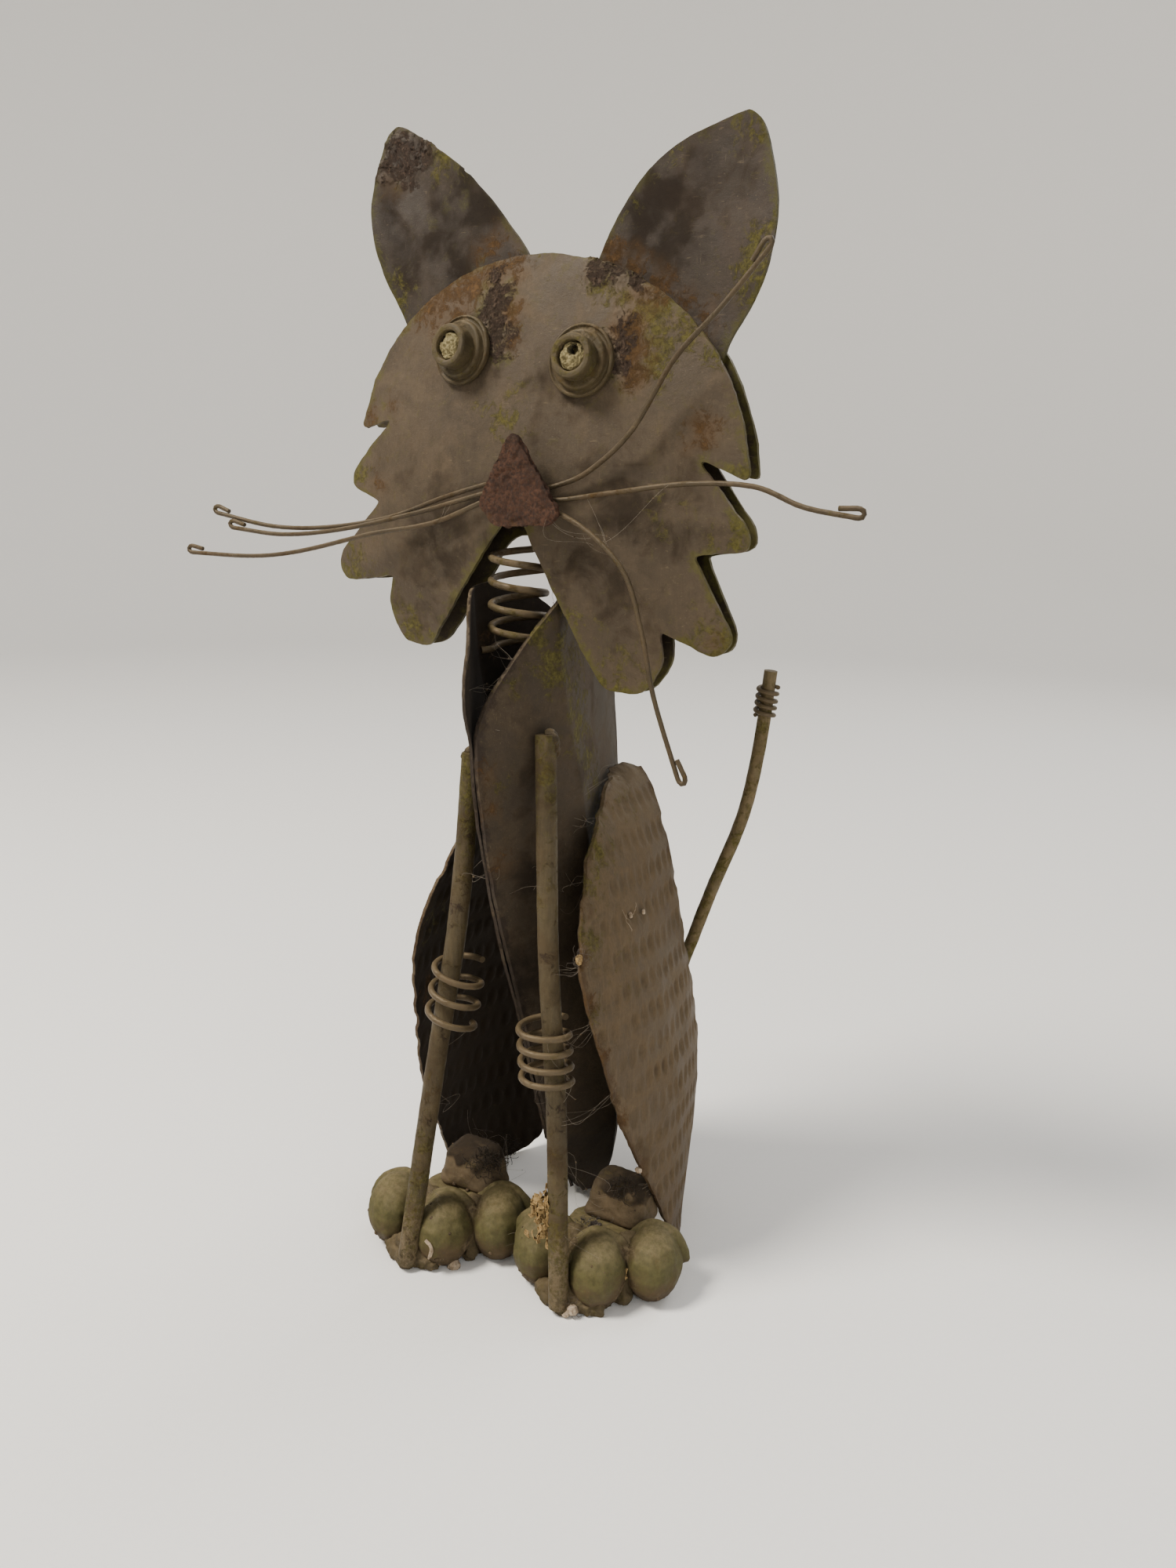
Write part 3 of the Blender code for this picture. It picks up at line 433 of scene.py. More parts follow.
def join(name, pieces):
    select_only(*pieces)
    if len(pieces) > 1:
        bpy.ops.object.join()
    return rename(bpy.context.view_layer.objects.active, name)


def settle(piece, finish, replaces=()):
    """Gives a finished piece its material and its body, and hides the nodes that it stands for."""
    apply_place(piece)
    inside_box(piece.data)
    piece.data.materials.clear()
    piece.data.materials.append(finish)
    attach(piece, "root")
    if replaces:
        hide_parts(*replaces)
    return piece


def finish_off(piece, slot, finish, replaces=(), angle=SHEET_ANGLE, **masks):
    """Masks, shading and material of a bar, wire or lump that needs no mask of its own."""
    bar_masks(piece, **masks)
    smooth_shade(piece, angle)
    return settle(piece, finish_for(finish), replaces)


def random_vector(rng, spread, size=(1.0, 1.0, 1.0)):
    return Vector(tuple(rng.gauss(0.0, spread) * part for part in size))


def random_turn(rng):
    return Euler(tuple(rng.uniform(0.0, 6.3) for _ in range(3))).to_matrix().to_4x4()


def scatter(name, first, places):
    """The first piece and copies of it, each with its own mesh, at the given placements, as one piece."""
    copies = [first] + [new_piece(name + str(index), first.data.copy()) for index in range(1, len(places))]
    for copy, place in zip(copies, places):
        copy.matrix_world = place
    return join(name, copies)


# Finishes

class Finish:
    """Builds one node material from masks and noise in Object coordinates."""

    def __init__(self, name):
        self.material = bpy.data.materials.new(name)
        self.material.use_nodes = True
        self.nodes = self.material.node_tree.nodes
        self.links = self.material.node_tree.links
        self.shader = self.nodes["Principled BSDF"]
        self.place = self.nodes.new("ShaderNodeTexCoord").outputs["Object"]

    def feed(self, socket, value):
        if isinstance(value, bpy.types.NodeSocket):
            self.links.new(value, socket)
        elif value is not None:
            socket.default_value = value

    def noise(self, size, detail=4.0, rough=0.55, warp=0.0, stretch=(1.0, 1.0, 1.0), shift=0.0):
        """Noise whose features are about size metres across."""
        place = self.nodes.new("ShaderNodeMapping")
        self.feed(place.inputs["Vector"], self.place)
        place.inputs["Location"].default_value = (shift, shift * 0.5, -shift)
        place.inputs["Scale"].default_value = tuple(1.0 / (size * part) for part in stretch)
        made = self.nodes.new("ShaderNodeTexNoise")
        self.feed(made.inputs["Vector"], place.outputs["Vector"])
        made.inputs["Scale"].default_value = 1.0
        made.inputs["Detail"].default_value = detail
        made.inputs["Roughness"].default_value = rough
        made.inputs["Distortion"].default_value = warp
        return made.outputs["Fac"]

    def cells(self, size):
        made = self.nodes.new("ShaderNodeTexVoronoi")
        made.inputs["Scale"].default_value = 1.0 / size
        self.feed(made.inputs["Vector"], self.place)
        return made.outputs["Distance"]

    def mask(self, name):
        made = self.nodes.new("ShaderNodeAttribute")
        made.attribute_name = name
        return made.outputs["Fac"]

    def step(self, value, low, high, bottom=0.0, top=1.0):
        made = self.nodes.new("ShaderNodeMapRange")
        made.interpolation_type = "SMOOTHSTEP"
        self.feed(made.inputs["Value"], value)
        for key, number in (("From Min", low), ("From Max", high), ("To Min", bottom), ("To Max", top)):
            made.inputs[key].default_value = number
        return made.outputs["Result"]

    def sum(self, first, second, operation="ADD"):
        made = self.nodes.new("ShaderNodeMath")
        made.operation = operation
        self.feed(made.inputs[0], first)
        self.feed(made.inputs[1], second)
        return made.outputs[0]

    def times(self, first, second):
        return self.sum(first, second, "MULTIPLY")

    def shaken(self, value, pattern, amount):
        """A value moved up and down by a pattern, so that its edges wander."""
        return self.sum(value, self.times(self.sum(pattern, -0.5), amount))

    def mix(self, share, first, second):
        made = self.nodes.new("ShaderNodeMix")
        made.data_type = "RGBA"
        self.feed(made.inputs[0], share)
        for socket, value in ((made.inputs[6], first), (made.inputs[7], second)):
            self.feed(socket, value if isinstance(value, bpy.types.NodeSocket) else (*value[:3], 1.0))
        return made.outputs[2]

    def tools(self):
        """The calls that every finish below is written in."""
        return self.mix, self.times, self.step, self.sum, self.shaken, self.noise, self.mask

    def upward(self):
        """Share of a surface that faces up, where dust settles."""
        made = self.nodes.new("ShaderNodeNewGeometry")
        split = self.nodes.new("ShaderNodeSeparateXYZ")
        self.feed(split.inputs[0], made.outputs["Normal"])
        return split.outputs["Z"]

    def done(self, colour, rough, height, depth, metallic=0.0, sheen_level=0.22):
        self.feed(self.shader.inputs["Base Color"], colour)
        self.feed(self.shader.inputs["Roughness"], rough)
        self.shader.inputs["Metallic"].default_value = metallic
        self.shader.inputs["Specular IOR Level"].default_value = sheen_level
        bump = self.nodes.new("ShaderNodeBump")
        bump.inputs["Strength"].default_value = 1.0
        bump.inputs["Distance"].default_value = depth
        self.feed(bump.inputs["Height"], height)
        self.links.new(bump.outputs["Normal"], self.shader.inputs["Normal"])
        return self.material


def shade_of(colour, factor):
    return tuple(min(1.0, part * factor) for part in colour)


def weathered(name, base, streak=0.5, smoke=0.5, metallic=0.15, gloss=0.52, moss=1.0, rim_tint=None):
    """Weathered steel: smoky mottling, streaks, rust, moss, dust and painted shade driven by the piece's
    masks.
    """
    colours = bpy.context.scene.cat_colours
    finish = Finish(name)
    mix, times, step, add, shaken, pattern, mask = finish.tools()
    cloud = step(pattern(17.0 * MM, 7.0, 0.62, 0.6), 0.36, 0.64)
    fine = step(pattern(2.4 * MM, 7.0, 0.75), 0.34, 0.66)
    grain = pattern(0.5 * MM, 3.0, 0.7)
    drip = pattern(1.0 * MM, 5.0, 0.65, 0.0, (1.0, 1.0, 16.0))
    spread = step(pattern(5.5 * MM, 9.0, 0.78, 0.5, shift=9.1), 0.36, 0.64)

    colour = mix(cloud, shade_of(base, 0.76), shade_of(base, 1.16))
    colour = mix(times(fine, 0.5), colour, shade_of(base, 0.62))
    dark = step(pattern(44.0 * MM, 7.0, 0.62, 0.8, shift=3.7), 0.50, 0.70)
    colour = mix(times(dark, smoke), colour, colours.shadow)
    colour = mix(times(step(drip, 0.38, 0.72), streak), colour, shade_of(base, 1.45))
    colour = mix(times(step(pattern(1.1 * MM, 5.0, 0.7, shift=6.0), 0.58, 0.72), 0.35), colour,
                 shade_of(base, 1.7))
    speck = step(pattern(0.8 * MM, 2.0, 0.5, shift=4.4), 0.70, 0.78)
    colour = mix(times(speck, 0.4), colour, shade_of(colours.dust, 0.8))

    scratch = add(step(pattern(0.5 * MM, 2.0, 0.5, 0.3, (14.0, 1.0, 1.8), 1.3), 0.68, 0.74),
                  step(pattern(0.45 * MM, 2.0, 0.5, 0.3, (1.0, 1.0, 16.0), 5.3), 0.70, 0.76))
    colour = mix(times(scratch, 0.30), colour, shade_of(colours.dust, 0.7))

    def spreading(kind, low, high, reach):
        """A mask eaten into by fractal noise, so that its edge is never a clean curve."""
        return step(shaken(mask(kind), spread, reach), low, high)

    rim = spreading("rim", 0.18, 0.80, 0.8)
    colour = mix(times(rim, 0.8), colour, rim_tint or shade_of(colours.moss, 0.72))
    # Smoke stains and painted shade: this mask darkens hollows, inner faces and cast shadows.
    soot_and_shade = step(shaken(mask("smoke"), cloud, 0.35), 0.15, 0.9)
    colour = mix(times(soot_and_shade, 0.9), colour, colours.shadow)

    bloom = mix(step(pattern(3.0 * MM, 6.0, 0.7, shift=8.0), 0.35, 0.65),
                shade_of(colours.bloom, 0.78), shade_of(colours.bloom, 1.12))
    colour = mix(step(shaken(mask("bloom"), fine, 0.25), 0.05, 0.95), colour, bloom)
    green = spreading("moss", 0.30, 0.90, 0.85)
    lichen = mix(step(pattern(1.8 * MM, 6.0, 0.75, shift=2.0), 0.36, 0.64),
                 shade_of(colours.moss, 0.45), shade_of(colours.moss, 1.35))
    colour = mix(times(green, 0.72 * moss), colour, lichen)
    rusty = spreading("rust", 0.34, 0.84, 0.85)
    stain = step(shaken(mask("rust"), cloud, 0.3), 0.05, 1.0)
    colour = mix(times(stain, 0.65), colour, shade_of(colours.orange, 0.75))
    embers = step(pattern(3.4 * MM, 8.0, 0.8, 0.6, shift=7.7), 0.38, 0.62)
    colour = mix(times(rusty, 0.85), colour, mix(embers, shade_of(colours.orange, 0.42), colours.orange))
    scale = spreading("scale", 0.36, 0.56, 0.7)
    plates = step(pattern(2.0 * MM, 8.0, 0.8, 1.2, shift=5.0), 0.42, 0.58)
    flaked = mix(plates, shade_of(colours.scale, 0.72), shade_of(colours.scale, 1.6))
    colour = mix(times(scale, 0.9), colour, flaked)

    dusty = times(step(finish.upward(), 0.25, 0.95), add(times(fine, 0.35), 0.12))
    dusty = times(dusty, add(1.0, soot_and_shade, "SUBTRACT"))
    colour = mix(dusty, colour, colours.dust)
    mud = step(shaken(mask("mud"), fine, 0.6), 0.3, 0.75)
    colour = mix(times(mud, 0.85), colour, shade_of(colours.dust, 0.6))

    rough = step(cloud, 0.0, 1.0, gloss - 0.05, gloss + 0.10)
    crust = add(add(add(rusty, scale, "MAXIMUM"), green, "MAXIMUM"), soot_and_shade, "MAXIMUM")
    rough = add(add(rough, times(crust, 0.34)), 0.97, "MINIMUM")
    height = add(times(grain, 0.35), times(fine, 0.30))
    height = add(height, times(times(rusty, embers), 0.9))
    height = add(height, times(times(scale, plates), 2.2))
    height = add(height, times(green, times(fine, 0.8)))
    return finish.done(colour, rough, height, 0.22 * MM, metallic)


def granular_rust(name):
    """Coarse deep red-brown rust with an orange lower edge."""
    colours = bpy.context.scene.cat_colours
    finish = Finish(name)
    mix, times, step, add, shaken, pattern, mask = finish.tools()
    grit = pattern(1.5 * MM, 6.0, 0.8)
    lump = pattern(4.0 * MM, 4.0, 0.6, 0.4)
    colour = mix(step(grit, 0.36, 0.64), shade_of(colours.nose, 0.35), shade_of(colours.nose, 1.3))
    patch = pattern(9.0 * MM, 4.0, 0.6)
    colour = mix(times(step(patch, 0.46, 0.62), 0.55), colour, shade_of(colours.nose, 0.36))
    colour = mix(times(step(shaken(mask("rust"), lump, 1.0), 0.3, 0.8), 0.75), colour, colours.orange)
    colour = mix(times(step(finish.cells(1.9 * MM), 0.2, 0.08), 0.3), colour, shade_of(colours.dust, 0.45))
    height = add(times(grit, 2.4), lump)
    return finish.done(colour, step(grit, 0.3, 0.7, 0.62, 0.9), height, 0.5 * MM)


def crumbly(name, first, second, size=1.4 * MM, depth=0.4 * MM):
    """Matte dirt, dried mud, fibres and webs; a mask darkens holes with painted shade."""
    colours = bpy.context.scene.cat_colours
    finish = Finish(name)
    mix, times, step, add, _, pattern, mask = finish.tools()
    grit = pattern(size, 6.0, 0.75)
    patch = pattern(size * 6.0, 4.0, 0.6)
    colour = mix(step(grit, 0.36, 0.64), first, second)
    colour = mix(times(step(patch, 0.5, 0.7), 0.4), colour, shade_of(first, 0.5))
    # Painted shade in holes.
    colour = mix(mask("smoke"), colour, shade_of(colours.shadow, 0.4))
    return finish.done(colour, step(patch, 0.3, 0.7, 0.85, 0.97), add(grit, patch), depth)


def painted_plain(name, colour, rough):
    finish = Finish(name)
    grain = finish.noise(3.0 * MM, 4.0, 0.6)
    tone = finish.mix(grain, shade_of(colour, 0.97), shade_of(colour, 1.02))
    return finish.done(tone, rough, grain, 0.02 * MM)


FINISHES = {}


def finish_for(kind):
    """One material for each finish, made the first time that it is asked for."""
    colours = bpy.context.scene.cat_colours
    makers = {
        "sheet": lambda: weathered("weathered_sheet", colours.sheet, 0.10, 0.40, 0.08, 0.60),
        "torso": lambda: weathered("torso_sheet", shade_of(colours.sheet, 0.72), 0.0, 0.45, 0.0, 0.74,
                                   rim_tint=shade_of(colours.scale, 0.4)),
        # A darker copy of the sheet finish: painted shade on the back plate behind the face.
        "sheet_dark": lambda: weathered("sheet_in_painted_shade", shade_of(colours.sheet, 0.50), 0.05, 0.6),
        "ear": lambda: weathered("smoky_ear", colours.ear, 0.05, 0.75, 0.08, 0.60,
                                 rim_tint=shade_of(colours.moss, 0.5)),
        "haunch": lambda: weathered("dimpled_haunch", colours.haunch, 0.40, 0.12, 0.05, 0.60,
                                    rim_tint=shade_of(colours.orange, 0.5)),
        "rod": lambda: weathered("olive_rod", colours.rod, 0.30, 0.45, 0.15, 0.55),
        "tail": lambda: weathered("mossy_tail", shade_of(colours.rod, 1.85), 0.30, 0.25, 0.15, 0.55),
        "spring": lambda: weathered("tan_spring", colours.spring, 0.05, 0.35, 0.25, 0.46),
        "wire": lambda: weathered("brown_wire", shade_of(colours.spring, 0.66), 0.05, 0.40, 0.25, 0.46),
        "paw": lambda: weathered("dusty_paw", colours.paw, 0.0, 0.30, 0.0, 0.72, 0.8),
        "ankle": lambda: weathered("dusty_ankle", colours.ankle, 0.0, 0.25, 0.0, 0.75, 0.8),
        "moss_metal": lambda: weathered("mossy_eye", (0.060, 0.044, 0.020), 0.0, 0.45, 0.0, 0.62, 0.9),
        "rust": lambda: granular_rust("granular_rust"),
        "mud": lambda: crumbly("dried_mud", (0.105, 0.083, 0.036), (0.235, 0.195, 0.096)),
        "clod": lambda: weathered("muddy_clod", (0.072, 0.054, 0.027), 0.0, 0.4, 0.0, 0.8, 0.5),
        "lint": lambda: crumbly("grey_lint", (0.050, 0.040, 0.032), (0.130, 0.108, 0.088),
                                0.7 * MM, 0.1 * MM),
        "fuzz": lambda: crumbly("dark_fuzz", (0.012, 0.009, 0.007), (0.046, 0.035, 0.023),
                                0.9 * MM, 0.1 * MM),
        "straw": lambda: crumbly("straw_fibre", (0.150, 0.088, 0.030), (0.36, 0.25, 0.11), 0.8 * MM),
        "bone": lambda: crumbly("pale_nub", (0.22, 0.16, 0.10), (0.42, 0.34, 0.25)),
        "soil": lambda: crumbly("dark_soil", (0.028, 0.020, 0.013), (0.115, 0.080, 0.045)),
        "web": lambda: crumbly("dusty_web", shade_of(colours.web, 0.5), colours.web, 1.0 * MM, 0.02 * MM),
        "weld": lambda: weathered("weld_bead", shade_of(colours.rod, 0.62), 0.0, 0.6, 0.2, 0.6)}
    if kind not in FINISHES:
        FINISHES[kind] = makers[kind]()
    return FINISHES[kind]


# Formed sheets

# Rust, scale, moss and dark stains of each sheet, the dark stains largely painted shade: column and row in
# the photograph, radius in mm, strength
SPOTS = {
    "face_plate": {
        "rust": ((562, 372, 19, 0.85), (597, 356, 18, 0.85), (629, 347, 14, 0.75), (660, 338, 10, 0.6),
                 (585, 385, 12, 0.7), (540, 400, 14, 0.55), (651, 405, 8, 0.9), (650, 438, 7, 0.8),
                 (837, 361, 11, 0.8), (800, 425, 9, 1.0), (806, 448, 9, 1.0), (812, 474, 8, 0.8),
                 (896, 551, 8, 0.75),
                 (878, 566, 5, 0.5), (471, 534, 10, 0.6), (500, 520, 7, 0.4), (870, 352, 8, 0.5),
                 (484, 610, 8, 0.45), (913, 824, 6, 0.4), (640, 375, 9, 0.6),
                 (520, 400, 10, 0.5), (770, 345, 9, 0.5)),
        "scale": ((634, 378, 8, 0.9), (630, 400, 8, 0.85), (638, 425, 8, 0.9), (641, 445, 6, 0.7),
                  (632, 355, 6, 0.75), (767, 342, 8, 0.8), (790, 350, 7, 0.8), (812, 358, 6, 0.75),
                  (786, 440, 8, 0.65), (788, 465, 7, 0.6), (795, 410, 6, 0.55)),
        "moss": ((830, 400, 14, 0.85), (836, 430, 13, 0.85), (832, 462, 12, 0.8), (774, 357, 10, 0.8),
                 (800, 372, 9, 0.7), (880, 420, 12, 0.7), (905, 455, 10, 0.5), (637, 528, 13, 0.55),
                 (652, 540, 10, 0.5), (463, 606, 9, 0.75), (455, 722, 16, 0.6), (527, 795, 15, 0.6),
                 (786, 862, 16, 0.65), (912, 818, 15, 0.7), (940, 690, 14, 0.6), (955, 605, 12, 0.55),
                 (720, 800, 14, 0.45), (850, 660, 12, 0.35), (700, 760, 10, 0.35)),
        # Painted shadows of the eyes, nose and whiskers and painted shade on the lower cheeks, with some
        # smoke stains.
        "smoke": ((690, 480, 14, 0.5), (735, 480, 14, 0.55), (640, 465, 12, 0.5), (700, 545, 22, 0.4),
                  (800, 650, 32, 0.6), (760, 730, 30, 0.55), (610, 470, 10, 0.4), (690, 590, 16, 0.35),
                  (870, 540, 12, 0.35), (560, 690, 34, 0.5), (545, 770, 24, 0.5), (780, 800, 26, 0.5),
                  (850, 700, 30, 0.5), (640, 700, 20, 0.45), (520, 600, 20, 0.35), (880, 620, 22, 0.4))},
    "ear_right": {
        "scale": ((505, 190, 9, 0.75), (522, 204, 11, 0.75), (496, 212, 8, 0.7), (538, 196, 9, 0.65)),
        "rust": ((632, 314, 8, 0.6), (612, 328, 7, 0.5), (655, 324, 7, 0.4), (508, 240, 10, 0.25)),
        "moss": ((565, 200, 12, 0.75), (548, 180, 9, 0.6), (500, 380, 14, 0.6), (485, 360, 10, 0.5)),
        # Smoke stains, partly painted shade in the cupped dents of the ear.
        "smoke": ((560, 290, 24, 0.75), (590, 230, 14, 0.7), (520, 330, 18, 0.65), (610, 270, 12, 0.8),
                  (500, 270, 12, 0.6), (590, 345, 14, 0.7))},
    "ear_left": {
        "rust": ((784, 322, 8, 0.8), (778, 303, 6, 0.5), (838, 362, 9, 0.65), (868, 382, 9, 0.5),
                 (900, 402, 9, 0.4), (812, 342, 8, 0.65)),
        "moss": ((968, 340, 12, 0.85), (975, 300, 10, 0.6), (955, 380, 10, 0.6), (850, 182, 10, 0.6),
                 (962, 160, 10, 0.5), (800, 260, 8, 0.4)),
        # Smoke stains, partly painted shade in the cupped dents of the ear.
        "smoke": ((832, 262, 20, 0.85), (860, 300, 18, 0.8), (815, 290, 14, 0.8), (900, 215, 16, 0.5),
                  (880, 260, 14, 0.5), (945, 210, 12, 0.4))},
    "torso_left": {
        "moss": ((690, 800, 12, 0.6), (712, 850, 18, 0.8), (640, 870, 9, 0.45), (740, 920, 16, 0.75),
                 (752, 970, 14, 0.65), (640, 1000, 8, 0.35)),
        "rust": ((614, 985, 8, 0.5), (625, 1040, 7, 0.45), (640, 1100, 8, 0.4)),
        # Painted shadows of the head, the leg and the haunch on the torso.
        "smoke": ((745, 980, 18, 0.45), (672, 1010, 14, 0.55), (680, 1120, 20, 0.65), (660, 1250, 26, 0.7),
                  (760, 890, 14, 0.3))},
    "torso_right": {
        # Painted shade in the opening of the hollow torso.
        "smoke": ((620, 850, 20, 0.85), (612, 920, 18, 0.85), (640, 800, 16, 0.8)),
        "rust": ((620, 820, 8, 0.45),),
        "moss": ((598, 840, 6, 0.4),)},
    "haunch_left": {
        "moss": ((756, 1080, 17, 0.75), (750, 1130, 15, 0.7), (766, 1035, 12, 0.6), (752, 1200, 12, 0.6),
                 (756, 1300, 10, 0.5), (800, 1020, 12, 0.4), (800, 1230, 14, 0.35)),
        "rust": ((735, 1150, 7, 0.6), (738, 1220, 6, 0.75), (744, 1280, 6, 0.8), (760, 1350, 6, 0.8),
                 (782, 1430, 6, 0.7), (808, 1490, 6, 0.7), (742, 1010, 7, 0.5)),
        # Painted shade along the join with the torso, and darker towards the bottom.
        "smoke": ((790, 985, 14, 0.35), (770, 1360, 16, 0.3), (815, 1480, 24, 0.35), (850, 1420, 22, 0.3),
                  (742, 1150, 9, 0.45))},
    "haunch_right": {
        # Painted shade over the inner face of this haunch.
        "smoke": ((560, 1200, 40, 0.5), (600, 1400, 30, 0.5)),
        "moss": ((548, 1180, 12, 0.4),),
        "rust": ((545, 1260, 9, 0.5),)}}


def pixel_spots(node, kind):
    result = []
    for column, row, radius, strength in SPOTS.get(node, {}).get(kind, ()):
        point, _ = seen_on(node, column, row)
        result.append((point, radius * MM, strength))
    return result


def paint(mesh, node, rim_indices, extra):
    """Writes the masks that the weathered finish reads."""
    place_noise = np.array([noise.noise(vertex.co / (16.0 * MM)) for vertex in mesh.vertices])
    add_mask(mesh, "rim", rim_nearness(mesh, rim_indices, 5.0 * MM) * np.clip(0.75 + place_noise, 0.2, 1.0))
    for kind in ("rust", "scale", "moss", "smoke", "mud"):
        values = spot_mask(mesh, pixel_spots(node, kind))
        if kind in extra:
            values = np.maximum(values, extra[kind])
        add_mask(mesh, kind, values)


def formed_sheet(name, node, slot, outward, rounds, rim_rounds, shape=None, seed=0.0, relief=None,
                 cell_scale=1.0, extra=None, crease=None, dent=1.0, finish=None, tip=None,
                 wander_share=1.0):
    """Fine, dented, rusted version of a sheet node; outward is the way the sheet bulges."""
    sheets = bpy.context.scene.cat_sheets
    piece = copy_of_node(name, node)
    refine(piece, sheets.cell * cell_scale, pixel_spots(node, "scale"))
    mesh = piece.data
    rims = relax(mesh, rounds, rim_rounds, crease=crease, tip=tip)
    if shape:
        push(mesh, shape)
    nearness = rim_nearness(mesh, rims, 3.0 * MM)
    for vertex, near in zip(mesh.vertices, nearness):
        place = vertex.co.copy()
        dents = (bumps(place, 34.0 * MM, sheets.dent, seed)
                 + bumps(place, 15.0 * MM, sheets.dent * 0.4, seed + 4.0)
                 + bumps(place, 6.0 * MM, sheets.dent * 0.08, seed + 9.0)) * dent
        if relief:
            dents += relief(place)
        wander = noise.noise_vector(place / (3.2 * MM) + Vector((seed, 0.0, seed)))
        wander += noise.noise_vector(place / (11.0 * MM) + Vector((0.0, seed, seed))) * 1.3
        wander -= outward * wander.dot(outward)
        vertex.co = place + outward * dents + wander * sheets.nibble * wander_share * near
    mesh.update()
    paint(mesh, node, rims, extra(mesh) if extra else {})
    lift_scale(mesh)
    smooth_shade(piece)
    return settle(piece, finish_for(finish or slot), (node,))


def eased(value, low, high):
    share = min(1.0, max(0.0, (value - low) / (high - low)))
    return share * share * (3.0 - 2.0 * share)


def lift_scale(mesh):
    """Raises rust scale in broken plates and curled ridges, and rust and moss as low crusts."""
    kinds = {}
    for kind in ("rust", "scale", "moss"):
        values = np.empty(len(mesh.vertices), dtype=np.float32)
        mesh.attributes[kind].data.foreach_get("value", values)
        kinds[kind] = values
    normals = [vertex.normal.copy() for vertex in mesh.vertices]
    for index, vertex in enumerate(mesh.vertices):
        rust, scale, moss = (float(kinds[kind][index]) for kind in ("rust", "scale", "moss"))
        if rust + scale + moss < 0.05:
            continue
        place = vertex.co
        crust = max(0.0, noise.fractal(place / (3.0 * MM), 1.0, 2.0, 3))
        lift = rust * crust * 0.5 + moss * crust * 0.3
        if scale > 0.05:
            plate = noise.fractal(place / (4.6 * MM) + Vector((7.0, 1.0, 3.0)), 0.8, 2.1, 5)
            curl = noise.noise(place / (2.7 * MM) + Vector((2.0, 8.0, 5.0)))
            lift += eased(scale, 0.1, 0.6) * (0.10 + 0.55 * eased(plate, -0.12, 0.18)
                                              + 0.28 * max(0.0, 1.0 - abs(curl) / 0.16))
        vertex.co = place + normals[index] * MM * lift
    mesh.update()


HEAD_FRONT = (HEAD.to_3x3() @ Vector((0.0, -1.0, 0.0))).normalized()


def build_head():
    domed = HEAD.inverted()

    def on_dome(place, normal):
        """Carries both sides of the face plate from their facets on to the true dome."""
        local = domed @ place
        flat = math.sqrt(max(0.0, DOME_RADIUS ** 2 - local.x ** 2 - local.z ** 2))
        front = DOME_RADIUS - flat
        inner = local.y - front > 0.8 * MM
        target = front + (PLATE if inner else 0.0)
        if abs(local.y - target) > 0.6 * MM:
            return Vector()
        return HEAD.to_3x3() @ Vector((0.0, target - local.y, 0.0))

    formed_sheet("face_sheet", "face_plate", "sheet", HEAD_FRONT, 8, 3, shape=on_dome, seed=1.0)
    # The back plate takes the darker copy of the sheet finish: painted shade behind the face.
    formed_sheet("back_sheet", "head_back_plate", "sheet_dark", HEAD_FRONT, 8, 3, seed=1.0, cell_scale=2.2)


def build_ears():
    for side, seed in (("right", 11.0), ("left", 17.0)):
        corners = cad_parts["ear_" + side].data.vertices
        tip = max((vertex.co for vertex in corners), key=lambda place: place.z).copy()
        formed_sheet("ear_sheet_" + side, "ear_" + side, "ear", HEAD_FRONT, 20, 22, seed=seed, dent=1.5,
                     tip=tip, wander_share=0.28)


# Crease of each torso sheet: height and depth in mm, in the cat's own frame
MIDRIB = ((4.0, 72.0), (60.0, 64.0), (150.0, 44.0), (235.0, 19.0), (266.0, 6.0), (313.0, -2.0), (325.0, -3.0))


def behind_midrib(place):
    """How far, in mm, a point of the torso lies behind the crease of its sheet, seen from the side."""
    local = (place - BODY_SHIFT) / MM
    return local.y - float(np.interp(local.z, *zip(*MIDRIB)))


def build_torso():
    for side, way, seed in (("left", 1.0, 23.0), ("right", -1.0, 29.0)):
        def inside(mesh, way=way):
            """Painted shade on the inner face of the hollow torso, a little green behind the crease outside.
            """
            dark = [1.0 if vertex.normal.x * way < -0.3 else 0.0 for vertex in mesh.vertices]
            green = [0.36 if vertex.normal.x * way > 0.3 and 2.0 < behind_midrib(vertex.co) < 26.0 else 0.0
                     for vertex in mesh.vertices]
            return {"smoke": np.array(dark), "moss": np.array(green)}
        formed_sheet("torso_sheet_" + side, "torso_" + side, "sheet", Vector((way, 0.0, 0.0)), 45, 14,
                     seed=seed, cell_scale=1.42, extra=inside, finish="torso",
                     crease=lambda place: min(1.0, max(0.03, (abs(behind_midrib(place)) - 1.5) / 5.0)))


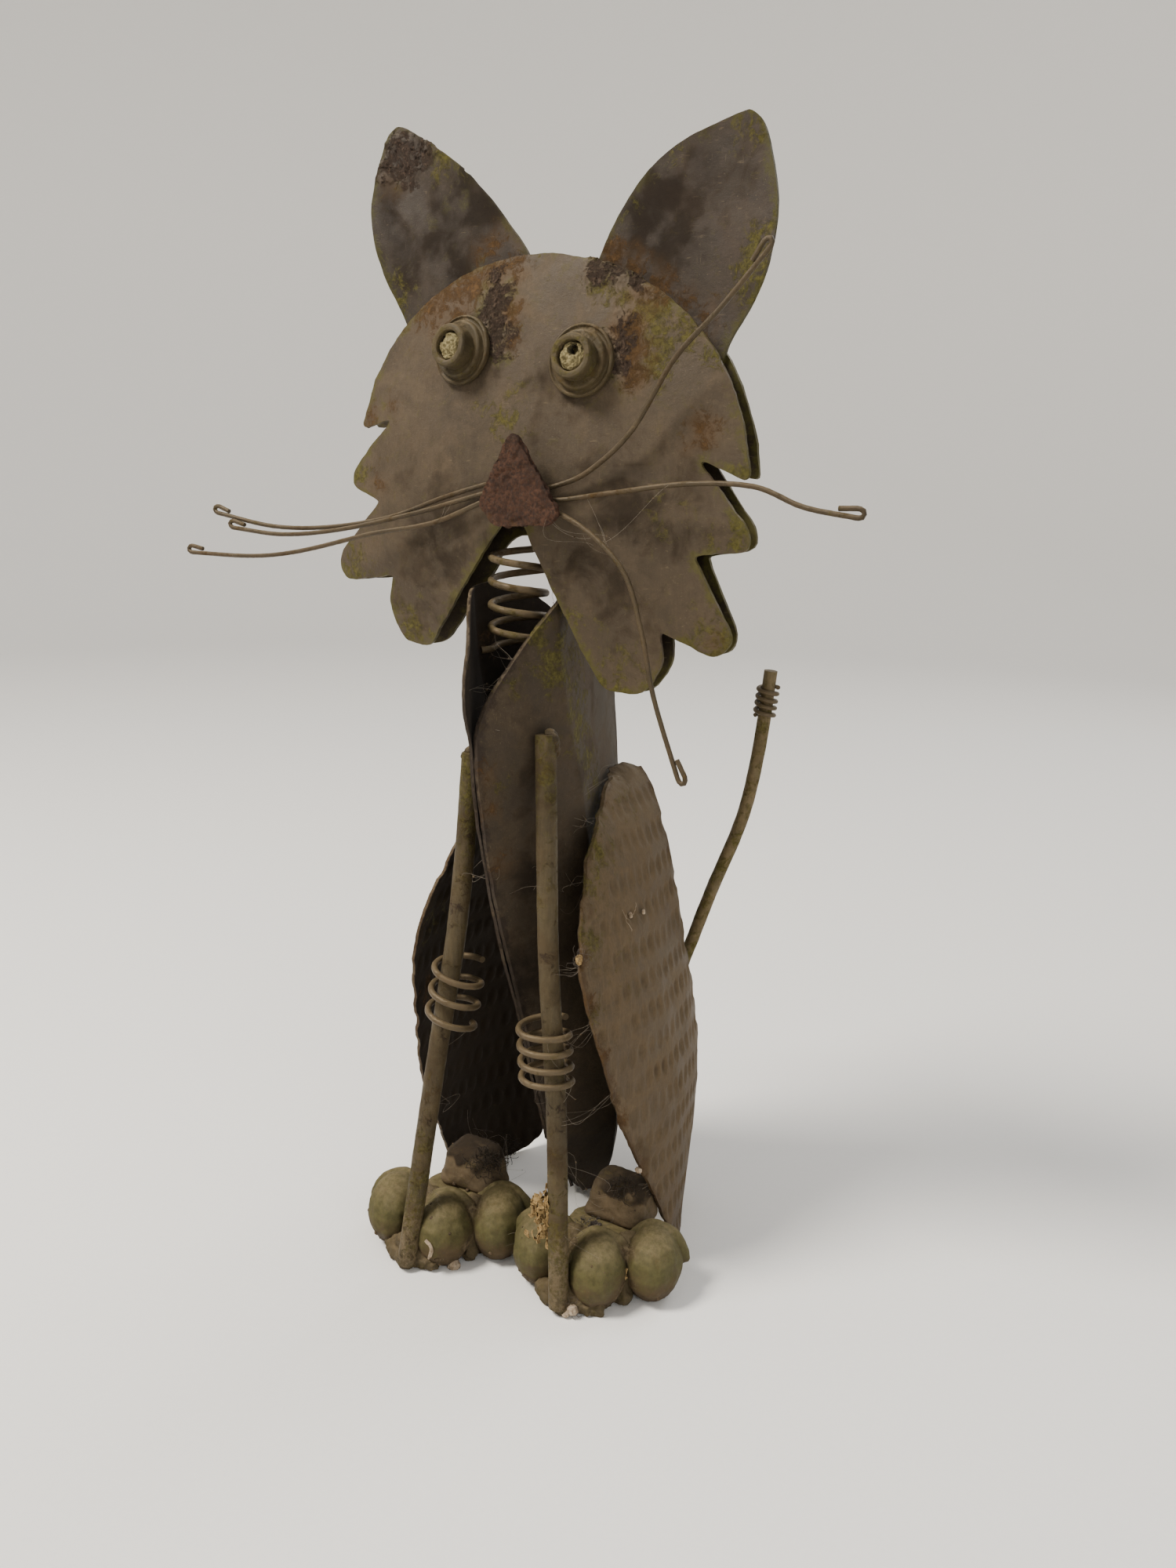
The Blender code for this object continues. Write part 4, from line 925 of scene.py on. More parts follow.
def build_haunches():
    sheets = bpy.context.scene.cat_sheets
    pitch = sheets.dimple_pitch

    def dimples(place):
        """Rows of narrow upright dents, every other row set off by half a pitch."""
        row = place.z / (pitch * 2.0) + 0.10 * noise.noise(place / (26.0 * MM))
        shift = 0.5 if math.floor(row) % 2 else 0.0
        column = place.y / pitch + shift + 0.12 * noise.noise(place / (19.0 * MM) + Vector((5.0, 5.0, 5.0)))
        across, down = column % 1.0 - 0.5, row % 1.0 - 0.5
        bowl = max(0.0, 1.0 - (across / 0.40) ** 2 - (down / 0.34) ** 2)
        wear = 0.80 + 0.7 * noise.noise(place / (21.0 * MM) + Vector((math.floor(column) * 0.4, 0.0, 0.0)))
        return -sheets.dimple * bowl ** 0.8 * min(1.1, max(0.2, wear))

    for side, way, seed in (("left", 1.0, 31.0), ("right", -1.0, 37.0)):
        def inside(mesh, way=way):
            """Painted shade on the inner face and in the dimples."""
            dark = np.array([1.0 if vertex.normal.x * way < -0.2 else 0.0 for vertex in mesh.vertices])
            pits = np.array([-dimples(vertex.co) / sheets.dimple for vertex in mesh.vertices])
            return {"smoke": np.maximum(dark, pits * 0.34)}
        formed_sheet("haunch_sheet_" + side, "haunch_" + side, "haunch", Vector((way, 0.0, 0.0)), 50, 8,
                     seed=seed, relief=dimples, cell_scale=0.86, extra=inside)


# Paths, rods and coils

COIL_STEPS = 48


def smooth_path(points, steps=8):
    """Catmull-Rom curve through the given points."""
    points = [Vector(point) for point in points]
    result = []
    for span in range(len(points) - 1):
        b, c = points[span], points[span + 1]
        a = points[span - 1] if span else b * 2.0 - c
        d = points[span + 2] if span + 2 < len(points) else c * 2.0 - b
        for step in range(steps):
            t = step / steps
            result.append(0.5 * (2.0 * b + (c - a) * t + (2.0 * a - 5.0 * b + 4.0 * c - d) * t ** 2
                                 + (3.0 * b - a - 3.0 * c + d) * t ** 3))
    result.append(points[-1])
    return result


def even_path(points, spacing):
    """The same path with points at an even spacing."""
    result = [points[0].copy()]
    carried = 0.0
    for first, second in zip(points, points[1:]):
        length = (second - first).length
        place = spacing - carried
        while place < length:
            result.append(first.lerp(second, place / length))
            place += spacing
        carried = (carried + length) % spacing
    if (result[-1] - points[-1]).length < spacing * 0.4:
        result.pop()
    result.append(points[-1].copy())
    return result


def coil_path(foot, axis, coil_radius, pitch, turns, wobble, seed, start_angle=0.0):
    """Middle line of a hand-wound coil; the wobble makes its pitch uneven."""
    axis = axis.normalized()
    side = axis.cross(Vector((0.0, 1.0, 0.0))).normalized()
    front = side.cross(axis)
    points = []
    for step in range(round(turns * COIL_STEPS) + 1):
        angle = start_angle + 2.0 * math.pi * step / COIL_STEPS
        turn = step / COIL_STEPS
        sway = noise.noise(Vector((turn * 1.3, seed, 0.0))) * wobble
        rise = axis * (pitch * turn + sway)
        points.append(foot + rise + (side * math.cos(angle) + front * math.sin(angle)) * coil_radius)
    return points


def curve_piece(name, strands, depth, resolution, merge):
    """Closed tubes along paths, each a (points, width factor) pair, as one piece."""
    curve = bpy.data.curves.new(name, "CURVE")
    curve.dimensions = "3D"
    curve.bevel_depth = depth
    curve.bevel_resolution = resolution
    curve.use_fill_caps = True
    for points, width in strands:
        spline = curve.splines.new("POLY")
        spline.points.add(len(points) - 1)
        for target, point in zip(spline.points, points):
            target.co = (*point, 1.0)
            target.radius = width
    select_only(new_piece(name, curve))
    bpy.ops.object.convert(target="MESH")
    piece = bpy.context.view_layer.objects.active
    edit(piece)
    if merge:
        bpy.ops.mesh.remove_doubles(threshold=0.000001)
    bpy.ops.mesh.normals_make_consistent(inside=False)
    leave_edit()
    return piece


def round_bar(name, points, radius, sides, pits, seed):
    """Closed round bar or wire along a path, with rust pits as deep as a share of its radius."""
    ring = bpy.context.scene.cat_wires.ring
    points = even_path(points, ring if radius < 3.0 * MM else ring * 1.4)
    bar = curve_piece(name, [(points, 1.0)], radius, (sides - 4) // 2, merge=True)
    depth = radius * pits

    def offset(place, normal):
        coarse = bumps(place, radius * 1.6, depth, seed)
        return normal * (coarse + bumps(place, radius * 0.5, depth * 0.5, seed + 3.0))
    push(bar.data, offset)
    return bar


def bar_masks(piece, rust=0.0, moss=0.0, smoke=0.0, mud=0.0, scale=0.0, spots=None):
    """Even masks for a bar, varied along its length, plus named spots."""
    mesh = piece.data
    count = len(mesh.vertices)
    levels = {"rust": rust, "moss": moss, "smoke": smoke, "mud": mud, "scale": scale}
    for index, (kind, level) in enumerate(levels.items()):
        drift = np.array([0.75 + 0.8 * noise.noise(vertex.co / (22.0 * MM) + Vector((index * 5.0, 0.0, 0.0)))
                          for vertex in mesh.vertices]) if level else np.zeros(count)
        values = level * drift
        if spots and kind in spots:
            values = np.maximum(values, spot_mask(mesh, spots[kind]))
        add_mask(mesh, kind, values)
    add_mask(mesh, "rim", np.zeros(count))


# Whiskers: depth in front of the face, and the route across it (sideways, up), in mm in the head's frame
WHISKERS = {
    "right_top": (-2.6, ((-9.0, -6.0), (-34.0, -15.0), (-62.0, -27.0), (-96.0, -36.0),
                         (-130.0, -40.5), (-166.0, -39.5))),
    "right_middle": (-4.8, ((-10.0, -10.0), (-46.0, -23.0), (-88.0, -36.0), (-122.0, -43.0),
                            (-153.0, -44.5))),
    "right_low": (-7.0, ((-11.0, -14.0), (-36.0, -26.0), (-68.0, -35.0), (-107.0, -48.0),
                         (-137.0, -55.0), (-177.0, -59.5))),
    "left_top": (-2.6, ((19.0, -4.0), (33.0, 3.0), (50.0, 20.0), (64.0, 47.0), (80.0, 66.0), (95.0, 86.0))),
    "left_middle": (-4.8, ((22.0, -9.0), (47.0, -3.0), (77.0, 4.0), (104.0, 6.5), (124.0, 2.0),
                           (144.0, 1.0))),
    "left_low": (-7.0, ((20.0, -12.0), (40.0, -19.0), (58.0, -32.0), (69.0, -53.0), (78.0, -76.0),
                        (93.0, -104.0)))}
WHISKER_RADIUS = 1.0 * MM
HOOK_RADIUS = 1.6 * MM
HOOK_RETURN = 7.0 * MM
NOSE_STUB_RADIUS = 3.6 * MM


def build_whiskers():
    hub = Vector(NOSE_PLACE)
    for index, (name, (depth, route)) in enumerate(WHISKERS.items()):
        route = [Vector(point) * MM for point in route]
        start = hub + (route[0] - hub).normalized() * (NOSE_STUB_RADIUS + GAP + WHISKER_RADIUS * 1.05)
        flat = smooth_path([start] + route, 10)
        ahead = (flat[-1] - flat[-2]).normalized()
        turn_to = Vector((-ahead.y, ahead.x))
        if "right" in name:
            turn_to = -turn_to
        for step in range(1, 9):
            angle = math.pi * step / 8
            flat.append(route[-1] + turn_to * HOOK_RADIUS * (1.0 - math.cos(angle))
                        + ahead * HOOK_RADIUS * 1.6 * math.sin(angle))
        flat.append(flat[-1] - ahead * HOOK_RETURN - turn_to * HOOK_RADIUS * 0.75)
        points = [HEAD @ Vector((x, depth * MM, z)) for x, z in flat]
        wire = round_bar("whisker_wire_" + name, points, WHISKER_RADIUS, 10, 0.07, 2.0 * index)
        finish_off(wire, "wire", "wire", ("whisker_" + name,), rust=0.25, smoke=0.25, moss=0.2)


# Turned and cut fittings of the face

def dome_depth(x, z):
    return DOME_RADIUS - math.sqrt(DOME_RADIUS ** 2 - x * x - z * z)


def on_face(x, z, lift):
    """Placement on the face plate: local +Z points straight out of the dome."""
    centre = Vector((0.0, DOME_RADIUS, 0.0))
    point = Vector((x, dome_depth(x, z), z))
    outward = (point - centre).normalized()
    turn = Vector((0.0, 0.0, 1.0)).rotation_difference(outward).to_matrix().to_4x4()
    return HEAD @ Matrix.Translation(point + outward * lift) @ turn


def draw_up(radius, height, next_radius, next_height):
    """Extrudes the selected disc or ring straight up and scales it to the next radius."""
    bpy.ops.mesh.extrude_region_move(TRANSFORM_OT_translate={"value": (0.0, 0.0, next_height - height)})
    factor = next_radius / radius
    bpy.ops.transform.resize(value=(factor, factor, 1.0), center_override=(0.0, 0.0, next_height))
    return next_radius, next_height


def raised_round(name, profile, segments):
    """Round solid drawn up from a disc: each (radius, height) step is an extrude and a scale."""
    radius, height = profile[0]
    piece = rename(add_primitive(bpy.ops.mesh.primitive_circle_add, vertices=segments, radius=radius,
                                 fill_type="NGON", location=(0.0, 0.0, height)), name)
    bpy.ops.object.transform_apply(location=True)
    edit(piece, mode="FACE")
    for next_radius, next_height in profile[1:]:
        radius, height = draw_up(radius, height, next_radius, next_height)
    bpy.ops.mesh.select_all(action="SELECT")
    bpy.ops.mesh.normals_make_consistent(inside=False)
    leave_edit()
    return piece


def rounded_profile(corners, radius):
    """Softens each inner corner of a (radius, height) profile in mm with a short arc."""
    points = [Vector((corner[0] * MM, corner[1] * MM)) for corner in corners]
    result = [points[0]]
    for before, corner, after in zip(points, points[1:], points[2:]):
        into, out = (before - corner), (after - corner)
        reach = min(radius, into.length * 0.45, out.length * 0.45)
        first, last = corner + into.normalized() * reach, corner + out.normalized() * reach
        for t in (0.0, 1 / 3, 2 / 3, 1.0):
            result.append(first * (1 - t) ** 2 + corner * 2 * t * (1 - t) + last * t ** 2)
    result.append(points[-1])
    return result


COLLAR_PROFILE = ((9.0, 0.0), (13.9, 0.0), (13.9, 1.7), (13.1, 2.3), (12.5, 1.6), (11.5, 1.6), (11.3, 3.5),
                  (10.6, 4.2), (9.0, 4.0))
BARREL_PROFILE = ((8.4, 0.0), (8.6, 9.2), (8.2, 10.2), (7.0, 10.4), (5.9, 10.0), (5.7, 6.6), (2.0, 6.5))


def build_eyes():
    for seed, (side, (x, z)) in enumerate(EYE_PLACES.items()):
        seat = on_face(x, z, GAP + CUP_RADIUS ** 2 / (2.0 * DOME_RADIUS))
        cup = raised_round("eye_collar_" + side, rounded_profile(COLLAR_PROFILE, 0.35 * MM), 72)
        tube = raised_round("eye_barrel_" + side, rounded_profile(BARREL_PROFILE, 0.30 * MM), 64)
        for piece, piece_seed in ((cup, 3.0 + seed), (tube, 5.0 + seed)):
            refine(piece, 1.0 * MM)
            push(piece.data, lambda place, normal, piece_seed=piece_seed: normal * (
                bumps(place, 3.0 * MM, 0.16 * MM, piece_seed)
                + bumps(place, 1.1 * MM, 0.07 * MM, piece_seed)))
            piece.matrix_world = seat
            apply_place(piece)
        # The collar's darkening round the barrel's foot is painted shade.
        finish_off(cup, "moss_metal", "moss_metal", ("eye_cup_" + side,), EYE_ANGLE, rust=0.3, moss=0.3,
                   smoke=0.4, spots={"mud": [(seat @ Vector((0.0, 11.0 * MM, 3.0 * MM)), 7.0 * MM, 0.6)],
                                     "smoke": [(seat @ Vector((0.0, 0.0, 2.5 * MM)), 9.6 * MM, 0.7)]})
        finish_off(tube, "moss_metal", "moss_metal", ("eye_tube_" + side,), EYE_ANGLE, rust=0.1, moss=0.35,
                   smoke=0.15, spots={"mud": [(seat @ Vector((0.0, 0.0, 10.0 * MM)), 7.5 * MM, 0.55)]})
        build_eye_mud(side, seat, seed)


EYE_HOLES = {"left": (Vector((0.4, 2.3, 0.0)) * MM, 2.1 * MM),
             "right": (Vector((-3.6, 2.6, 0.0)) * MM, 1.5 * MM)}


def build_eye_mud(side, seat, seed):
    """Crumbly dried mud that fills the bore, with a small hole in it."""
    plug = rename(add_primitive(bpy.ops.mesh.primitive_ico_sphere_add, subdivisions=6, radius=5.55 * MM),
                  "eye_mud_" + side)
    hole, hole_radius = EYE_HOLES[side]

    def offset(place, normal):
        flat = Vector((place.x, place.y, 0.0))
        result = Vector((0.0, 0.0, -place.z * 0.52 if place.z > 0 else -place.z * 0.6))
        lumps = bumps(place, 2.6 * MM, 1.1 * MM, seed + 1.0) + bumps(place, 0.9 * MM, 0.55 * MM, seed)
        if place.z > 0:
            result.z += lumps
            near = (flat - hole).length / hole_radius + bumps(place, 0.8 * MM, 0.5, seed + 2.0)
            if near < 1.0:
                result.z -= 4.2 * MM * (1.0 - max(0.0, near) ** 3)
        return result
    push(plug.data, offset)
    # Painted shade in and around the hole.
    add_mask(plug.data, "smoke", [0.95 * eased(1.3 - (Vector((vertex.co.x, vertex.co.y, 0.0)) - hole).length
                                               / hole_radius, 0.0, 0.6) for vertex in plug.data.vertices])
    plug.matrix_world = seat @ Matrix.Translation((0.0, 0.0, 7.3 * MM))
    smooth_shade(plug, ROUGH_ANGLE)
    settle(plug, finish_for("mud"))


def build_nose():
    x, z = NOSE_PLACE
    seat = on_face(x, z, NOSE_STAND_OFF) @ Matrix.Rotation(math.radians(-90.0), 4, "X")
    nose = copy_of_node("nose_plate", "nose")
    refine(nose, FINE_CELL)
    relax(nose.data, 2, 10)
    front = (seat.to_3x3() @ Vector((0.0, -1.0, 0.0))).normalized()

    def grit(place, normal):
        lumps = bumps(place, 2.8 * MM, 0.75 * MM, 2.0) + bumps(place, 1.2 * MM, 0.45 * MM, 6.0)
        wander = noise.noise_vector(place / (4.0 * MM)) * 0.6 * MM
        wander -= front * wander.dot(front)
        return normal * lumps + wander * (1.0 - abs(normal.dot(front)))
    push(nose.data, grit)
    finish_off(nose, "rust", "rust", ("nose",), ROUGH_ANGLE, spots={"rust": [
        (seat @ Vector((x * MM, 0.0, z * MM)), radius * MM, 0.85)
        for x, z, radius in ((-14.0, -12.0, 4.5), (0.0, -15.0, 5.0), (12.0, -13.0, 4.5))]})
    stub = copy_of_node("nose_post", "nose_stub")
    refine(stub, FINE_CELL)
    relax(stub.data, 3, 6)
    push(stub.data, lambda place, normal: normal * bumps(place, 1.2 * MM, 0.25 * MM, 9.0))
    finish_off(stub, "rust", "rust", ("nose_stub",), ROUGH_ANGLE)


# Legs, springs and tail

PAW_PLACES = {"right": (-26.0 * MM, -14.5 * MM), "left": (50.5 * MM, -4.0 * MM)}
PAW_TURN = math.radians(18.0)
LEG_RADIUS = 4.5 * MM
# Bottom in mm, turns and pitch in mm
LEG_SPRINGS = {"right": (119.0, 3.0, 10.2), "left": (104.0, 4.0, 7.0)}
LEG_SPRING_OUTER = 12.4 * MM
LEG_SPRING_WIRE = 1.45 * MM
NECK_X = -1.0 * MM
NECK_OUTER = 13.0 * MM
NECK_WIRE = 1.5 * MM
NECK_PITCH = 9.7 * MM
NECK_BOTTOM = 289.0 * MM
NECK_TOP = Vector((0.0, 12.5, -31.5)) * MM
TAIL_RADIUS = 3.1 * MM
TAIL_COIL_WIRE = 1.0 * MM
TAIL_COIL_PITCH = 3.3 * MM
TAIL_COIL_TURNS = 4.5
TAIL_COIL_BELOW_TIP = 7.0 * MM
# Route of the tail in mm, in the cat's own frame
TAIL_POINTS = ((3.0, 110.5, 62.0), (12.0, 111.0, 74.0), (27.0, 104.0, 100.0), (39.0, 98.0, 128.0),
               (52.0, 97.0, 166.0), (66.0, 97.0, 205.0), (72.5, 97.0, 240.0), (76.0, 97.0, 276.0))


def paw_point(side, sideways, forward, height):
    x, y = PAW_PLACES[side]
    right = Vector((math.cos(PAW_TURN), math.sin(PAW_TURN), 0.0))
    ahead = Vector((math.sin(PAW_TURN), -math.cos(PAW_TURN), 0.0))
    return Vector((x, y, height)) + right * sideways + ahead * forward + BODY_SHIFT


def leg_top(side):
    """Sideways place in mm of the leg solid's top end, in the cat's own frame."""
    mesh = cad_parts["leg_" + side].data
    top = max(vertex.co.z for vertex in mesh.vertices)
    ring = [vertex.co for vertex in mesh.vertices if vertex.co.z > top - 2.0 * MM]
    return (sum(ring, Vector()) / len(ring) - BODY_SHIFT).x / MM


# Bends of each leg above its toe, in mm in the cat's own frame
LEG_BENDS = {
    "left": ((leg_top("left"), -7.0, 256.0), (24.6, -10.5, 186.0), (27.6, -12.5, 152.0), (34.4, -15.5, 90.0)),
    "right": ((leg_top("right"), -2.0, 242.0), (-21.5, -7.0, 190.0), (-23.5, -11.5, 152.0),
              (-29.5, -17.0, 98.0))}


def leg_route(side):
    """Smooth middle line of a front leg from its top down to the toe."""
    toe = paw_point(side, -14.0 * MM, 14.5 * MM, 3.0 * MM)
    return smooth_path([Vector(point) * MM + BODY_SHIFT for point in LEG_BENDS[side]] + [toe], 10)


def along_path(route, height):
    for upper, lower in zip(route, route[1:]):
        if lower.z <= height <= upper.z:
            return upper.lerp(lower, (upper.z - height) / (upper.z - lower.z))
    return route[-1].copy()


def build_legs():
    for seed, side in enumerate(SIDES):
        route = leg_route(side)
        leg = round_bar("leg_rod_" + side, route, LEG_RADIUS, 24, 0.035, 5.0 + seed)
        low = [(route[-1] + Vector((0.0, 0.0, 12.0 * MM)), 26.0 * MM, 0.6)]
        green = [(route[0], 60.0 * MM, 0.75 if side == "right" else 0.55),
                 (route[-1] + Vector((0.0, 0.0, 30.0 * MM)), 50.0 * MM, 0.6)]
        finish_off(leg, "rod", "rod", ("leg_" + side,), rust=0.2, moss=0.2, smoke=0.42, scale=0.18,
                   spots={"mud": low, "moss": green})


def build_springs():
    for seed, side in enumerate(SIDES):
        bottom, turns, pitch = LEG_SPRINGS[side]
        route = leg_route(side)
        foot, head = along_path(route, bottom * MM), along_path(route, (bottom + turns * pitch) * MM)
        slack = LEG_SPRING_OUTER - 2.0 * LEG_SPRING_WIRE - LEG_RADIUS - GAP
        aside = Vector((OUTWARDS[side] * slack * 0.9, 0.0, 0.0))
        foot = foot - aside
        path = coil_path(foot, head - (foot + aside), LEG_SPRING_OUTER - LEG_SPRING_WIRE, pitch * MM, turns,
                         wobble=0.7 * MM, seed=3.0 + seed * 4.0, start_angle=math.radians(120.0))
        spring = round_bar("leg_coil_" + side, path, LEG_SPRING_WIRE, 12, 0.06, 7.0 + seed)
        finish_off(spring, "spring", "spring", ("leg_spring_" + side,), rust=0.22, moss=0.12, smoke=0.2,
                   mud=0.2)
    build_neck_spring()


def build_neck_spring():
    low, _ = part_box("neck_spring")
    top = HEAD @ NECK_TOP
    top.x = NECK_X + BODY_SHIFT.x
    foot = Vector((top.x, top.y, NECK_BOTTOM))
    turns = (top - foot).length / NECK_PITCH
    path = coil_path(foot, top - foot, NECK_OUTER - NECK_WIRE, NECK_PITCH, turns, wobble=0.8 * MM, seed=2.0)
    end = Vector((low.x + 1.9 * MM, foot.y - 0.85 * NECK_OUTER, foot.z - 0.5 * NECK_WIRE))
    bend = end.lerp(path[0], 0.45) + Vector((2.4, -1.0, 0.0)) * MM
    path = smooth_path([end, bend, path[0]], 6)[:-1] + path
    spring = round_bar("neck_coil", path, NECK_WIRE, 12, 0.06, 12.0)
    finish_off(spring, "spring", "spring", ("neck_spring",), rust=0.25, moss=0.4, smoke=0.15, mud=0.1)


def build_tail():
    route = smooth_path([Vector(point) * MM + BODY_SHIFT for point in TAIL_POINTS], 8)
    tail = round_bar("tail_rod", route, TAIL_RADIUS, 20, 0.04, 15.0)
    finish_off(tail, "rod", "tail", ("tail",), rust=0.12, moss=0.55, smoke=0.2, mud=0.1)
    axis = (route[-1] - route[-9]).normalized()
    foot = route[-1] - axis * (TAIL_COIL_BELOW_TIP + TAIL_COIL_PITCH * TAIL_COIL_TURNS)
    path = coil_path(foot, axis, TAIL_RADIUS + 1.3 * GAP + TAIL_COIL_WIRE, TAIL_COIL_PITCH, TAIL_COIL_TURNS,
                     wobble=0.3 * MM, seed=8.0)
    spring = round_bar("tail_coil", path, TAIL_COIL_WIRE, 10, 0.06, 16.0)
    finish_off(spring, "spring", "spring", ("tail_spring",), rust=0.2, moss=0.3, smoke=0.3)


# Paws and ankles

# Each toe of a paw: sideways and back from the middle toe, in mm
TOE_PLACES = ((-28.0, 11.5), (0.0, 0.0), (23.5, 11.5))
TOE_RADIUS = 14.0 * MM
RIDGE_REACH = 13.4 * MM
RIDGE_STEPS = 14
FLOOR_ROOM = 0.05 * MM


def above_floor(place, move):
    """The move of a point, cut short where it would take it below the floor."""
    move.z = max(move.z, FLOOR_ROOM - place.z)
    return move


def toe_ridge(side, sideways, back):
    """Line over the top of a toe, from one side of it to the other."""
    ridge = []
    for step in range(RIDGE_STEPS + 1):
        angle = math.radians(-88.0 + 176.0 * step / RIDGE_STEPS)
        ridge.append(paw_point(side, sideways * MM + RIDGE_REACH * math.sin(angle),
                               -back * MM - (8.5 - 2.5 * abs(math.sin(angle))) * MM,
                               TOE_RADIUS + TOE_RADIUS * math.cos(angle)))
    return ridge


def build_paws():
    for seed, side in enumerate(SIDES):
        paw = copy_of_node("paw_body_" + side, "paw_" + side)
        ridges = [round_bar("ridge_" + side + str(index), toe_ridge(side, *place), 2.3 * MM, 8, 0.0, 0.0)
                  for index, place in enumerate(TOE_PLACES)]
        paw = join("paw_body_" + side, [paw] + ridges)
        voxel_body(paw, 0.88 * MM, 4)

        def lumps(place, normal, seed=seed):
            return above_floor(place, normal * (0.9 * MM + bumps(place, 9.0 * MM, 0.7 * MM, 3.0 + seed)
                                                + bumps(place, 2.6 * MM, 0.22 * MM, seed)))
        push(paw.data, lumps)
        between = [paw_point(side, sideways * MM, -back * MM, height * MM) for sideways, back, height in (
            (-14.0, -4.0, 10.0), (-14.0, 6.0, 22.0), (12.0, -4.0, 10.0), (12.0, 6.0, 22.0),
            (-14.0, -8.0, 3.0), (12.0, -8.0, 3.0))]
        tops = np.array([eased(vertex.normal.z * 0.8 + 0.75 * noise.noise(vertex.co / (7.0 * MM))
                               + 0.45 * noise.noise(vertex.co / (2.4 * MM))
                               + (vertex.co.z - 13.0 * MM) / (14.0 * MM), -1.5, 1.1)
                         for vertex in paw.data.vertices])
        low = np.array([1.0 - eased(vertex.co.z + 4.0 * MM * noise.noise(vertex.co / (5.0 * MM)),
                                    0.0, 13.0 * MM)
                        for vertex in paw.data.vertices])
        bar_masks(paw, rust=0.10, spots={
            "mud": [(point, 7.0 * MM, 0.55) for point in between],
            "smoke": [(point, 7.0 * MM, 0.6) for point in between]})
        seams = spot_mask(paw.data, [(point, 8.0 * MM, 1.0) for point in between])
        add_mask(paw.data, "bloom", 0.88 * tops * (1.0 - 0.75 * seams))
        # Painted shade between the toes, and darker towards the floor.
        add_mask(paw.data, "smoke", np.maximum(0.55 * low, 0.45 * seams))
        smooth_shade(paw, ROUGH_ANGLE)
        settle(paw, finish_for("paw"), ("paw_" + side,))


def build_ankles():
    for seed, side in enumerate(SIDES):
        ankle = copy_of_node("ankle_block_" + side, "ankle_" + side)
        voxel_body(ankle, 0.7 * MM, 16)
        push(ankle.data, lambda place, normal, seed=seed: normal * (
            0.7 * MM + bumps(place, 9.0 * MM, 1.1 * MM, 20.0 + seed)
            + bumps(place, 2.6 * MM, 0.32 * MM, seed)))
        _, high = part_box("ankle_" + side)
        bar_masks(ankle, moss=0.15, rust=0.1, mud=0.1)
        # Painted shade at the top of the ankle, under the haunch.
        add_mask(ankle.data, "smoke", [
            0.85 * eased(vertex.co.z + 7.0 * MM * noise.noise(vertex.co / (6.0 * MM)),
                         high.z - 8.0 * MM, high.z - 2.5 * MM) for vertex in ankle.data.vertices])
        smooth_shade(ankle, ROUGH_ANGLE)
        settle(ankle, finish_for("ankle"), ("ankle_" + side,))


# Welds

def lump(centre, radius, subdivisions=3):
    return add_primitive(bpy.ops.mesh.primitive_ico_sphere_add, subdivisions=subdivisions, radius=radius,
                         location=centre)


def fused(name, lumps, voxel):
    """Lumps fused into one skin."""
    body = join(name, lumps)
    apply_place(body)
    voxel_body(body, voxel, 3)
    return body


def droplet_row(name, points, radius, seed):
    """Weld bead: overlapping droplets along a line, fused and roughened."""
    rng = random.Random(seed)
    path = even_path([Vector(point) for point in points], radius * 0.85)
    bead = fused(name, [lump(point, radius * rng.uniform(0.82, 1.12)) for point in path], 0.45 * MM)
    push(bead.data, lambda place, normal: normal * (bumps(place, radius, radius * 0.16, seed)
                                                    + bumps(place, radius * 0.35, radius * 0.08, seed)))
    finish_off(bead, "sheet_dark", "weld", (), ROUGH_ANGLE, rust=0.3, moss=0.25, smoke=0.3, mud=0.15)


def ring_points(centre, normal, radius, count):
    turn = Vector((0.0, 0.0, 1.0)).rotation_difference(normal.normalized()).to_matrix()
    return [centre + turn @ Vector((math.cos(angle), math.sin(angle), 0.0)) * radius
            for angle in (2.0 * math.pi * step / count for step in range(count + 1))]


# Knob at the top of a leg rod, in mm from the rod's end, x away from the middle of the cat
KNOB_POINTS = ((1.6, 0.8, 0.2), (3.4, 0.6, -2.6), (1.2, 2.6, -1.0), (3.2, 1.4, -5.8), (1.4, 3.2, -4.4),
               (2.6, 2.6, -8.0))


def build_welds():
    x, z = NOSE_PLACE
    hub = on_face(x, z, 4.0 * MM)
    outward = (hub.to_3x3() @ Vector((0.0, 0.0, 1.0))).normalized()
    droplet_row("weld_whisker_hub", ring_points(hub.translation, outward, 4.0 * MM, 8), 2.4 * MM, 1)
    for side in SIDES:
        route = leg_route(side)
        way = OUTWARDS[side]
        droplet_row("weld_leg_knob_" + side, [route[0] + Vector((way * x, y, z)) * MM
                                              for x, y, z in KNOB_POINTS], 2.9 * MM, 3)
        inwards = Vector((-way * 3.6 * MM, 3.4 * MM, 0.0))
        droplet_row("weld_leg_seam_" + side, [route[2] + inwards, route[6] + inwards], 1.8 * MM, 5)


# Mud, crumbs, flakes and lint

